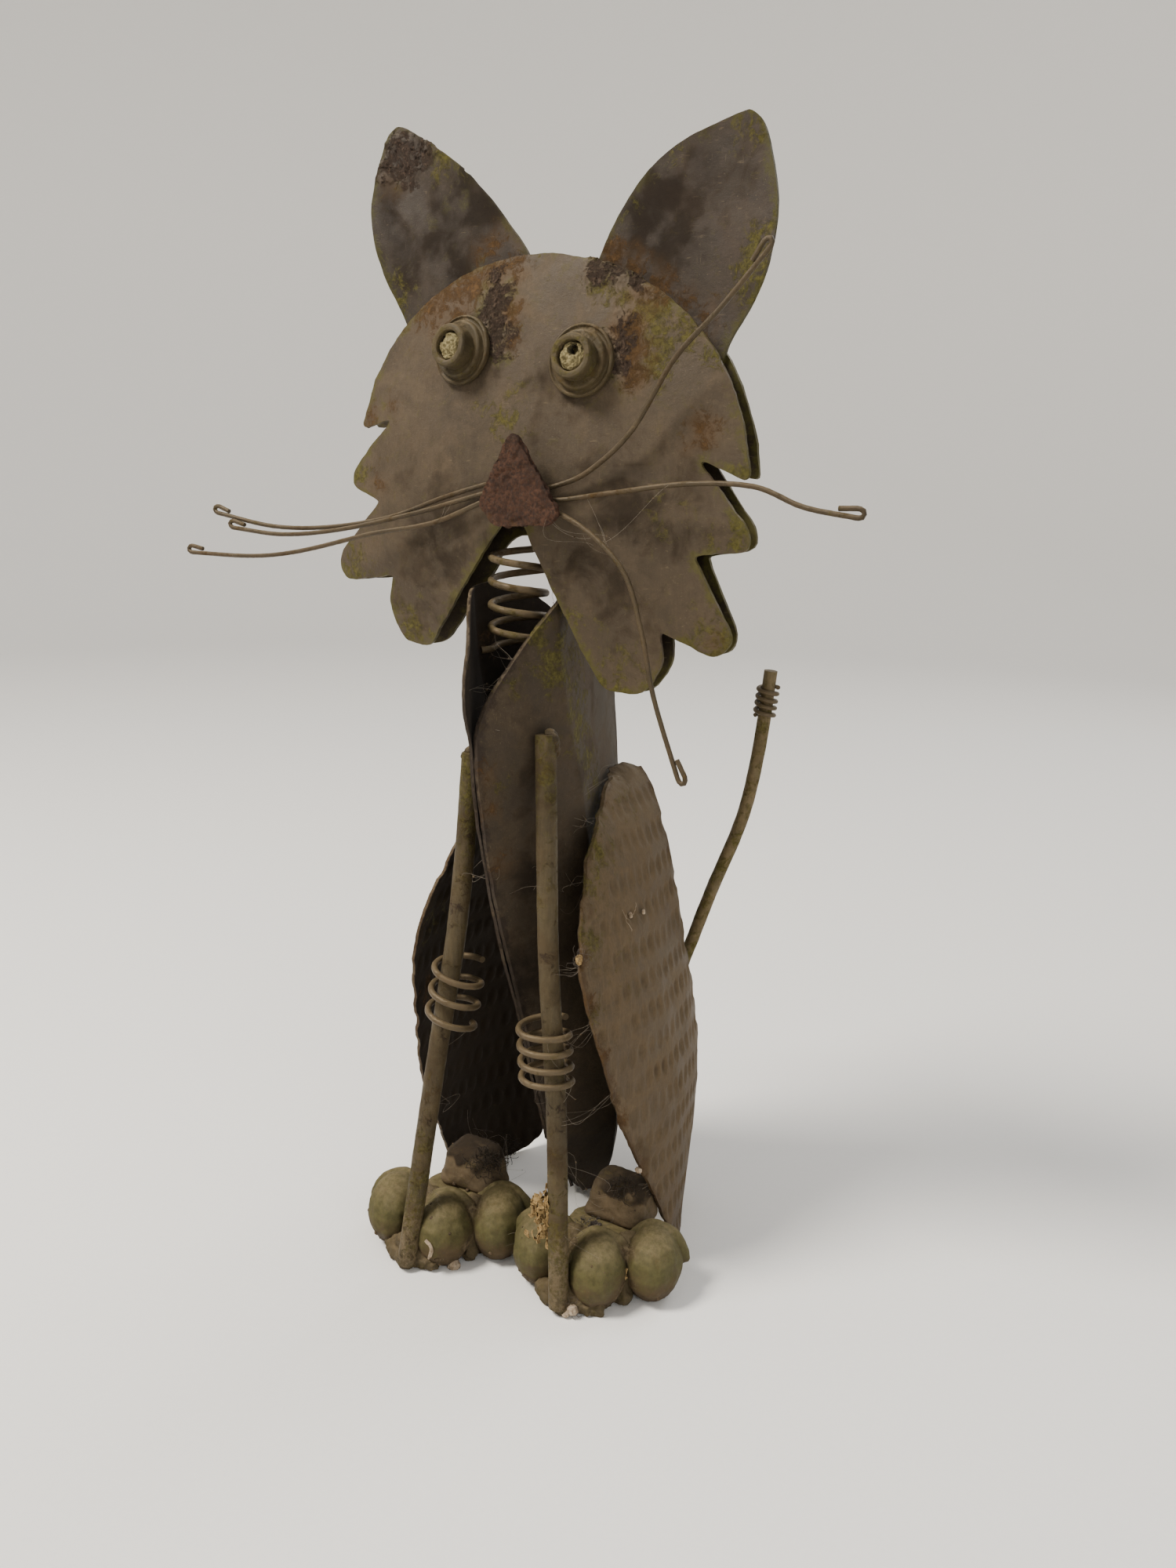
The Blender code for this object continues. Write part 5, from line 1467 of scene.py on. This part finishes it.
# Lumps of mud on each paw in mm: sideways, forward, height and radius
CLODS = {
    "right": (
        (-14.0, -4.0, 11.0, 7.5), (-13.0, 4.0, 6.0, 5.5), (12.0, -6.0, 11.0, 7.6),
        (12.0, 0.0, 4.0, 4.5), (-15.0, 9.0, 5.5, 6.2), (-19.5, 6.5, 5.0, 5.6),
        (-10.5, 9.5, 5.0, 5.2), (-15.5, 10.5, 10.5, 4.8), (-23.0, 3.0, 4.5, 5.4),
        (-26.0, -0.5, 4.0, 4.6), (-6.5, 11.5, 3.6, 4.2), (-2.5, 12.0, 3.0, 3.4),
        (12.0, -8.0, 17.0, 6.6), (12.0, -13.0, 20.0, 6.2), (-14.0, -9.0, 17.0, 6.6),
        (-13.0, -14.0, 20.0, 6.0), (-3.0, 4.0, 3.0, 4.5), (-20.0, 3.0, 4.0, 4.5),
        (-14.0, 14.0, 3.2, 4.0), (0.0, -31.0, 21.0, 5.0), (-10.0, -32.0, 20.0, 4.5),
        (10.0, -31.0, 20.0, 4.5)),
    "left": (
        (-14.0, -4.0, 11.0, 7.5), (-13.0, 4.0, 6.0, 5.5), (12.0, -6.0, 11.0, 7.6),
        (12.0, 1.0, 4.0, 4.5), (-14.5, 9.0, 5.5, 6.2), (-9.5, 10.0, 5.0, 5.4),
        (-19.0, 7.0, 5.0, 5.2), (-14.5, 10.8, 11.0, 4.8), (-22.5, 3.0, 4.5, 5.2),
        (-5.0, 11.5, 4.0, 4.6), (-1.0, 12.3, 3.2, 3.8), (3.5, 11.8, 2.8, 3.2),
        (12.0, -8.0, 17.0, 6.6), (12.0, -13.0, 20.0, 6.2), (-14.0, -9.0, 17.0, 6.6),
        (-13.0, -14.0, 20.0, 6.0), (4.0, 4.0, 3.0, 4.5), (-20.0, 2.0, 4.0, 4.5),
        (-13.0, 14.0, 3.2, 4.0), (3.0, -31.0, 21.0, 5.0), (-8.0, -32.0, 20.0, 4.5),
        (14.0, -30.0, 20.0, 4.5))}


def build_clods():
    """Mud packed between and under the toes and round the feet of the rods."""
    for seed, side in enumerate(SIDES):
        lumps = [lump(paw_point(side, sideways * MM, forward * MM, height * MM), radius * MM)
                 for sideways, forward, height, radius in CLODS[side]]
        clod = fused("mud_clods_" + side, lumps, 0.9 * MM)

        def rough(place, normal, seed=seed):
            return above_floor(place, normal * (bumps(place, 5.5 * MM, 1.9 * MM, 40.0 + seed)
                                                + bumps(place, 1.8 * MM, 0.9 * MM, seed)))
        push(clod.data, rough)
        finish_off(clod, "paw", "clod", (), ROUGH_ANGLE, mud=0.25, smoke=0.30, rust=0.12, moss=0.35)


def beside_surface(node, column, row, out):
    """The point of a node seen at a photograph pixel, moved out from its surface."""
    point, normal = seen_on(node, column, row)
    return point + normal * out


def flake_cluster(name, finish, centre, half, size, count, seed, along=None):
    """Small bent flakes around a point: one is modelled, the rest are turned copies of it."""
    rng = random.Random(seed)
    first = add_primitive(bpy.ops.mesh.primitive_grid_add, x_subdivisions=3, y_subdivisions=4, size=1.0)
    edit(first)
    bpy.ops.transform.resize(value=(0.55 * size, size, 1.0))
    leave_edit()
    push(first.data, lambda place, normal: Vector((0.0, 0.0, (place.y / size) ** 2 * size * 0.9
                                                   + bumps(place, size * 0.4, size * 0.2, seed))))
    solidify = first.modifiers.new("thick", "SOLIDIFY")
    solidify.thickness = size * 0.08
    select_only(first)
    bpy.ops.object.modifier_apply(modifier=solidify.name)
    places = []
    for _ in range(count):
        offset, turn = random_vector(rng, 0.42, half), random_turn(rng)
        if along and rng.random() < 0.6:
            turn = along.to_track_quat("Y", "Z").to_matrix().to_4x4() @ Matrix.Rotation(
                rng.uniform(0.0, 6.3), 4, "Y") @ Matrix.Rotation(rng.uniform(-0.4, 0.4), 4, "X")
        places.append(Matrix.Translation(centre + offset) @ turn @ Matrix.Scale(rng.uniform(0.5, 1.25), 4))
    cluster = scatter(name, first, places)
    smooth_shade(cluster)
    settle(cluster, finish_for(finish))


def nub(name, finish, node, pixel, radii, seed, sink=0.4):
    """Small rough lump stuck to a surface at a photograph pixel, its radii in mm."""
    point, normal = seen_on(node, *pixel)
    bump = rename(lump((0.0, 0.0, 0.0), 1.0 * MM, 4), name)
    size = Vector(radii)
    push(bump.data, lambda place, _: Vector([part * (grow - 1.0) for part, grow in zip(place, size)]))
    bump.location = point + normal * size.x * MM * (1.0 - sink)
    apply_place(bump)
    push(bump.data, lambda place, way: way * (bumps(place, 2.0 * MM, 0.5 * MM, seed)
                                              + bumps(place, 0.8 * MM, 0.3 * MM, seed + 1.0)))
    smooth_shade(bump, ROUGH_ANGLE)
    settle(bump, finish_for(finish))


def build_crumbs():
    """Dirt crumbs caught on the paws and ankles."""
    rng = random.Random(77)
    first = add_primitive(bpy.ops.mesh.primitive_uv_sphere_add, segments=6, ring_count=5, radius=1.0)
    push(first.data, lambda place, normal: normal * noise.noise(place * 1.3) * 0.5)
    places = []
    for _ in range(bpy.context.scene.cat_dirt.crumbs):
        node = rng.choice(("paw_left", "paw_right", "paw_left", "paw_right", "ankle_left", "ankle_right"))
        low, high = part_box(node)
        across, along = rng.uniform(low[0], high[0]), rng.uniform(low[1] - 5.0 * MM, high[1])
        top = high[2] + 4.0 * MM if rng.random() < 0.5 else 7.0 * MM
        point, normal, _, _ = node_tree(node).find_nearest(Vector((across, along, rng.uniform(0.0, top))))
        if point.z >= 0.9 * MM:
            places.append(Matrix.Translation(point + normal * 0.3 * MM) @ random_turn(rng)
                          @ Matrix.Scale(rng.choice((0.35, 0.5, 0.7, 1.0)) * MM, 4))
    cluster = scatter("dirt_crumbs", first, places)
    smooth_shade(cluster, ROUGH_ANGLE)
    settle(cluster, finish_for("soil"))


# Nubs and crusts: finish, node, photograph pixel, radii in mm, seed, and how deep they sit
NUBS = {
    "pale_nub": ("bone", "paw_right", (580, 1622), (3.0, 3.0, 6.2), 1.0, -0.2),
    "white_crust": ("bone", "leg_left", (733, 1684), (2.6, 2.4, 2.2), 4.0, 0.1),
    "white_crust_low": ("bone", "leg_left", (728, 1690), (1.8, 1.8, 1.6), 6.0, 0.1),
    "dark_seed_one": ("rust", "paw_left", (690, 1640), (1.6, 1.6, 2.6), 7.0),
    "dark_seed_two": ("rust", "paw_left", (697, 1652), (1.5, 1.5, 2.2), 8.0),
    "rim_clump": ("straw", "haunch_left", (737, 1224), (1.6, 1.6, 2.2), 9.0),
    "rim_crumb": ("bone", "haunch_left", (812, 1489), (1.5, 1.5, 1.6), 10.0),
    "sheet_lint_one": ("bone", "haunch_left", (803, 1167), (1.0, 0.9, 1.5), 11.0),
    "sheet_lint_two": ("bone", "haunch_left", (820, 1163), (0.8, 0.8, 1.1), 12.0)}
HOOK_PIXELS = ((545, 1581), (552, 1590), (551, 1598), (546, 1607), (547, 1614))


def build_dirt():
    build_clods()
    rod_up = Vector((-0.05, 0.15, 1.0))
    flake_cluster("straw_cocoon", "straw", beside_surface("leg_left", 699, 1552, 0.8 * MM) + Vector((
        -1.5, 0.0, 0.0)) * MM, Vector((7.5, 3.0, 15.0)) * MM, 3.6 * MM, 110, 3, rod_up)
    flake_cluster("straw_flakes", "straw", beside_surface("paw_left", 795, 1628, 0.6 * MM),
                  Vector((3.0, 2.0, 3.0)) * MM, 2.4 * MM, 9, 5)
    flake_cluster("grey_flakes", "lint", beside_surface("paw_right", 520, 1592, 1.0 * MM),
                  Vector((5.0, 4.0, 6.0)) * MM, 3.0 * MM, 40, 6)
    flake_cluster("heel_flakes", "lint", beside_surface("paw_left", 752, 1566, 1.0 * MM),
                  Vector((8.0, 5.0, 3.0)) * MM, 3.0 * MM, 34, 8)
    for name, (finish, *places) in NUBS.items():
        nub(name, finish, *places)
    hook = [beside_surface("paw_right", column, row, 1.1 * MM) for column, row in HOOK_PIXELS]
    wire = round_bar("white_hook", smooth_path(hook, 6), 0.9 * MM, 8, 0.2, 3.0)
    smooth_shade(wire)
    settle(wire, finish_for("bone"))
    build_crumbs()


# Cobwebs

# Bundles of threads: node, photograph pixel and spread in pixels at each end, count, sag in mm
WEBS = (
    ("haunch_right", (600, 1400), 34, "leg_right", (582, 1380), 26, 14, 3.0),
    ("haunch_right", (640, 1440), 28, "torso_right", (655, 1330), 28, 14, 4.0),
    ("haunch_right", (610, 1460), 22, "ankle_right", (622, 1482), 26, 30, 1.5),
    ("haunch_right", (560, 1330), 16, "leg_spring_right", (590, 1290), 14, 9, 2.0),
    ("torso_left", (690, 1400), 22, "leg_left", (703, 1390), 20, 10, 3.0),
    ("haunch_left", (752, 1310), 12, "leg_spring_left", (718, 1340), 14, 12, 2.0),
    ("haunch_left", (775, 1390), 12, "leg_left", (708, 1420), 14, 7, 5.0),
    ("haunch_left", (742, 1230), 8, "leg_left", (703, 1240), 10, 7, 2.0),
    ("haunch_left", (740, 1120), 10, "torso_left", (718, 1130), 12, 8, 2.0),
    ("haunch_left", (750, 1040), 8, "torso_left", (728, 1050), 8, 8, 1.5),
    ("torso_left", (640, 870), 12, "torso_right", (612, 880), 12, 12, 2.0),
    ("torso_left", (622, 930), 8, "torso_right", (606, 910), 12, 8, 1.0),
    ("torso_left", (650, 845), 8, "neck_spring", (640, 825), 10, 8, 1.0),
    ("whisker_left_low", (790, 705), 25, "face_plate", (742, 665), 22, 6, 3.0),
    ("whisker_left_middle", (800, 625), 40, "whisker_left_low", (760, 690), 22, 5, 2.0),
    ("nose", (700, 655), 6, "face_plate", (745, 690), 20, 6, 2.0),
    ("whisker_right_low", (560, 660), 20, "whisker_right_middle", (560, 645), 20, 4, 0.5),
    ("face_plate", (706, 752), 6, "torso_left", (706, 778), 6, 5, 0.6),
    ("haunch_left", (796, 974), 5, "torso_left", (742, 1012), 6, 6, 3.0),
    ("leg_spring_left", (700, 1340), 16, "leg_left", (700, 1405), 8, 7, 1.0),
    ("ankle_left", (790, 1530), 14, "haunch_left", (824, 1515), 8, 16, 1.5),
    ("paw_left", (760, 1585), 22, "leg_left", (716, 1560), 8, 10, 1.0),
    ("paw_right", (560, 1540), 16, "leg_right", (552, 1510), 8, 8, 1.0),
    ("paw_right", (655, 1580), 12, "paw_left", (685, 1600), 10, 10, 2.0),
    ("leg_left", (706, 1480), 8, "ankle_left", (772, 1530), 10, 7, 3.0),
    ("leg_left", (700, 1130), 8, "torso_left", (672, 1120), 14, 8, 1.0),
    ("leg_right", (598, 1120), 8, "torso_left", (632, 1110), 8, 7, 1.0))
WEB_LIMIT = 70.0 * MM
# Balls of threads: node, photograph pixel, half size in mm, count, thickness in mm, finish
TANGLES = (
    ("ankle_right", (620, 1482), (12.0, 7.0, 7.0), 120, 0.14, "fuzz"),
    ("haunch_right", (640, 1462), (10.0, 6.0, 6.0), 60, 0.12, "fuzz"),
    ("ankle_left", (797, 1518), (8.0, 6.0, 4.0), 60, 0.14, "fuzz"),
    ("paw_right", (516, 1596), (4.5, 3.5, 5.0), 50, 0.10, "lint"),
    ("paw_left", (752, 1568), (7.0, 4.0, 3.0), 36, 0.10, "lint"),
    ("haunch_left", (735, 1224), (1.5, 2.0, 4.0), 16, 0.07, "lint"),
    ("leg_left", (735, 1665), (5.0, 4.0, 4.0), 24, 0.08, "lint"),
    ("haunch_left", (798, 1172), (0.4, 3.0, 4.0), 4, 0.07, "bone"))


def strand_bundle(name, finish, strands):
    """Fine threads, each a (points, radius) pair, made as one piece."""
    settle(curve_piece(name, strands, 1.0, 0, merge=False), finish_for(finish))


def tangled(rng, centre, place):
    """Route of one thread that wanders but is drawn back to the centre."""
    way = random_vector(rng, 1.0).normalized()
    points = []
    for _ in range(8):
        points.append(place.copy())
        way = (way + random_vector(rng, 0.5) + (centre - place) * 30.0).normalized()
        place = place + way * 1.3 * MM
    return points


def spun(rng, start, finish, sag):
    """Route of one sagging thread between two points."""
    length = (finish - start).length
    bow, wave = (random_vector(rng, 1.0) * length * 0.07 for _ in range(2))
    drop = Vector((0.0, 0.0, -rng.uniform(0.2, 1.0) * sag * MM))
    return [start.lerp(finish, share) + (bow + drop) * math.sin(math.pi * share)
            + wave * math.sin(2.0 * math.pi * share) for share in (step / 12.0 for step in range(13))]


def build_webs():
    rng = random.Random(9)
    dirt = bpy.context.scene.cat_dirt
    strands = []
    for *anchors, count, sag in WEBS:
        for _ in range(round(count * dirt.strands)):
            ends = []
            for node, (column, row), spread in (anchors[:3], anchors[3:]):
                ends.append(seen_on(node, column + rng.gauss(0.0, 0.9) * spread,
                                    row + rng.gauss(0.0, 0.9) * spread)[0])
            if (ends[1] - ends[0]).length <= WEB_LIMIT:
                strands.append((spun(rng, *ends, sag), dirt.strand_radius * rng.uniform(0.6, 1.5)))
    strand_bundle("cobwebs", "web", strands)
    speck = add_primitive(bpy.ops.mesh.primitive_uv_sphere_add, segments=6, ring_count=4, radius=1.0)
    push(speck.data, lambda place, normal: normal * noise.noise(place * 1.7) * 0.6)
    specks = scatter("web_specks", speck, [
        Matrix.Translation(rng.choice(points[2:-2])) @ random_turn(rng)
        @ Matrix.Diagonal((*(rng.uniform(0.15, 0.55) * MM for _ in range(3)), 1.0))
        for points, _ in strands[::2]])
    settle(specks, finish_for("soil"))
    bundles = {}
    for node, pixel, half, count, thick, finish in TANGLES:
        centre, normal = seen_on(node, *pixel)
        centre = centre + normal * 1.5 * MM
        for _ in range(count):
            place = centre + random_vector(rng, 0.45, Vector(half) * MM)
            bundles.setdefault(finish, []).append(
                (tangled(rng, centre, place), thick * MM * rng.uniform(0.6, 1.3)))
    for finish, threads in bundles.items():
        strand_bundle("tangle_" + finish, finish, threads)


# Stage

FLOOR_RADIUS = 2.2
FLOOR_STEPS = 12


def build_stage():
    stage = bpy.context.scene.cat_stage
    floor = rename(add_primitive(bpy.ops.mesh.primitive_circle_add, vertices=96, radius=FLOOR_RADIUS,
                                 fill_type="NGON", location=(0.0, 0.0, 0.0)), "studio_floor")
    edit(floor, select="DESELECT", mode="EDGE")
    work = bmesh.from_edit_mesh(floor.data)
    for edge in work.edges:
        edge.select_set(edge.is_boundary)
    bmesh.update_edit_mesh(floor.data)
    radius, height = FLOOR_RADIUS, 0.0
    for step in range(1, FLOOR_STEPS + 1):
        angle = math.radians(90.0 * step / FLOOR_STEPS)
        radius, height = draw_up(radius, height, FLOOR_RADIUS + 1.0 * math.sin(angle), 1.0 - math.cos(angle))
    bpy.ops.mesh.extrude_region_move(TRANSFORM_OT_translate={"value": (0.0, 0.0, 1.2)})
    leave_edit()
    smooth_shade(floor)
    floor.data.materials.append(painted_plain("pale_floor", stage.floor, 0.75))
    target = Vector((0.0, 0.0, 0.24))
    lights = (("key_light", (-0.75, -0.95, 1.75), 0.6, stage.key, (1.0, 0.95, 0.87)),
              ("fill_light", (1.5, -1.0, 0.75), 1.3, stage.fill, (0.93, 0.96, 1.0)),
              ("back_light", (0.5, 1.5, 1.5), 1.0, stage.fill * 1.2, (1.0, 1.0, 1.0)))
    for name, place, size, power, tint in lights:
        light = bpy.data.lights.new(name, "AREA")
        light.shape = "DISK"
        light.size = size
        light.energy = power
        light.color = tint
        lamp = new_piece(name, light)
        lamp.location = place
        lamp.rotation_euler = (target - Vector(place)).to_track_quat("-Z", "Y").to_euler()
    world = bpy.data.worlds.new("studio_air")
    world.use_nodes = True
    air = world.node_tree.nodes["Background"]
    air.inputs["Color"].default_value = (0.98, 0.98, 1.0, 1.0)
    air.inputs["Strength"].default_value = stage.air
    bpy.context.scene.world = world
    right, up, ahead = camera_axes()
    lens = bpy.data.cameras.new("photo_camera")
    lens.sensor_fit = "VERTICAL"
    lens.sensor_width = 36.0
    lens.sensor_height = 36.0
    lens.lens = FOCAL_PIXELS / PHOTO_SIZE[1] * lens.sensor_height
    lens.clip_start = 0.01
    camera = new_piece("photo_camera", lens)
    pose = Matrix((right, up, -ahead)).transposed().to_4x4()
    pose.translation = CAMERA_PLACE
    camera.matrix_world = pose
    bpy.context.scene.camera = camera


# Operators, one for each piece or group of like pieces

class SCRAPCAT_OT_stage(bpy.types.Operator):
    """Adds the floor, the soft lights and the photograph's camera"""
    bl_idname = "scrapcat.stage"
    bl_label = "Stage"

    def execute(self, context):
        build_stage()
        return {"FINISHED"}


class SCRAPCAT_OT_head(bpy.types.Operator):
    """Forms the domed face sheet and the flat sheet behind it"""
    bl_idname = "scrapcat.head"
    bl_label = "Head sheets"

    def execute(self, context):
        build_head()
        return {"FINISHED"}


class SCRAPCAT_OT_ears(bpy.types.Operator):
    """Forms the two smoky leaf-shaped ears"""
    bl_idname = "scrapcat.ears"
    bl_label = "Ears"

    def execute(self, context):
        build_ears()
        return {"FINISHED"}


class SCRAPCAT_OT_eyes(bpy.types.Operator):
    """Turns the stepped collars and barrels and packs them with dried mud"""
    bl_idname = "scrapcat.eyes"
    bl_label = "Eyes"

    def execute(self, context):
        build_eyes()
        return {"FINISHED"}


class SCRAPCAT_OT_nose(bpy.types.Operator):
    """Roughens the rusty nose plate and its post"""
    bl_idname = "scrapcat.nose"
    bl_label = "Nose"

    def execute(self, context):
        build_nose()
        return {"FINISHED"}


class SCRAPCAT_OT_whiskers(bpy.types.Operator):
    """Bends the six hooked wires"""
    bl_idname = "scrapcat.whiskers"
    bl_label = "Whiskers"

    def execute(self, context):
        build_whiskers()
        return {"FINISHED"}


class SCRAPCAT_OT_torso(bpy.types.Operator):
    """Forms the two creased leaf-shaped sheets"""
    bl_idname = "scrapcat.torso"
    bl_label = "Torso"

    def execute(self, context):
        build_torso()
        return {"FINISHED"}


class SCRAPCAT_OT_haunches(bpy.types.Operator):
    """Forms the two dished and dimpled sheets"""
    bl_idname = "scrapcat.haunches"
    bl_label = "Haunches"

    def execute(self, context):
        build_haunches()
        return {"FINISHED"}


class SCRAPCAT_OT_legs(bpy.types.Operator):
    """Bends the two front leg rods"""
    bl_idname = "scrapcat.legs"
    bl_label = "Legs"

    def execute(self, context):
        build_legs()
        return {"FINISHED"}


class SCRAPCAT_OT_springs(bpy.types.Operator):
    """Winds the neck spring and the two leg springs"""
    bl_idname = "scrapcat.springs"
    bl_label = "Springs"

    def execute(self, context):
        build_springs()
        return {"FINISHED"}


class SCRAPCAT_OT_tail(bpy.types.Operator):
    """Bends the tail rod and winds the small coil near its tip"""
    bl_idname = "scrapcat.tail"
    bl_label = "Tail"

    def execute(self, context):
        build_tail()
        return {"FINISHED"}


class SCRAPCAT_OT_paws(bpy.types.Operator):
    """Fuses the toes with their heel pads"""
    bl_idname = "scrapcat.paws"
    bl_label = "Paws"

    def execute(self, context):
        build_paws()
        return {"FINISHED"}


class SCRAPCAT_OT_ankles(bpy.types.Operator):
    """Softens the flared blocks on the heels"""
    bl_idname = "scrapcat.ankles"
    bl_label = "Ankles"

    def execute(self, context):
        build_ankles()
        return {"FINISHED"}


class SCRAPCAT_OT_welds(bpy.types.Operator):
    """Lays the weld beads and knobs"""
    bl_idname = "scrapcat.welds"
    bl_label = "Welds"

    def execute(self, context):
        build_welds()
        return {"FINISHED"}


class SCRAPCAT_OT_dirt(bpy.types.Operator):
    """Adds mud clods, crumbs, flakes, nubs and lint"""
    bl_idname = "scrapcat.dirt"
    bl_label = "Dirt"

    def execute(self, context):
        build_dirt()
        return {"FINISHED"}


class SCRAPCAT_OT_webs(bpy.types.Operator):
    """Spins the cobwebs"""
    bl_idname = "scrapcat.webs"
    bl_label = "Webs"

    def execute(self, context):
        build_webs()
        return {"FINISHED"}


OPERATORS = (SCRAPCAT_OT_stage, SCRAPCAT_OT_head, SCRAPCAT_OT_ears, SCRAPCAT_OT_eyes, SCRAPCAT_OT_nose,
             SCRAPCAT_OT_whiskers, SCRAPCAT_OT_torso, SCRAPCAT_OT_haunches, SCRAPCAT_OT_legs,
             SCRAPCAT_OT_springs, SCRAPCAT_OT_tail, SCRAPCAT_OT_paws, SCRAPCAT_OT_ankles,
             SCRAPCAT_OT_welds, SCRAPCAT_OT_dirt, SCRAPCAT_OT_webs)
GROUPS = (("cat_sheets", CatSheetSettings), ("cat_wires", CatWireSettings),
          ("cat_colours", CatColourSettings), ("cat_dirt", CatDirtSettings), ("cat_stage", CatStageSettings))


class SCRAPCAT_PT_panel(bpy.types.Panel):
    """Lists the sculpture's settings and the steps that dress it"""
    bl_label = "Scrap Metal Cat"
    bl_idname = "SCRAPCAT_PT_panel"
    bl_space_type = "VIEW_3D"
    bl_region_type = "UI"
    bl_category = "Scrap Cat"

    def draw(self, context):
        for name, group in GROUPS:
            box = self.layout.box()
            for key in group.__annotations__:
                box.prop(getattr(context.scene, name), key)
        for operator in OPERATORS:
            self.layout.operator(operator.bl_idname)


def register():
    for name, group in GROUPS:
        bpy.utils.register_class(group)
        setattr(bpy.types.Scene, name, PointerProperty(type=group))
    for operator in OPERATORS:
        bpy.utils.register_class(operator)
    bpy.utils.register_class(SCRAPCAT_PT_panel)


def unregister():
    bpy.utils.unregister_class(SCRAPCAT_PT_panel)
    for operator in reversed(OPERATORS):
        bpy.utils.unregister_class(operator)
    for name, group in reversed(GROUPS):
        delattr(bpy.types.Scene, name)
        bpy.utils.unregister_class(group)


def main():
    register()
    for operator in OPERATORS:
        getattr(bpy.ops.scrapcat, operator.bl_idname.split(".")[1])()


if __name__ == "__main__":
    main()
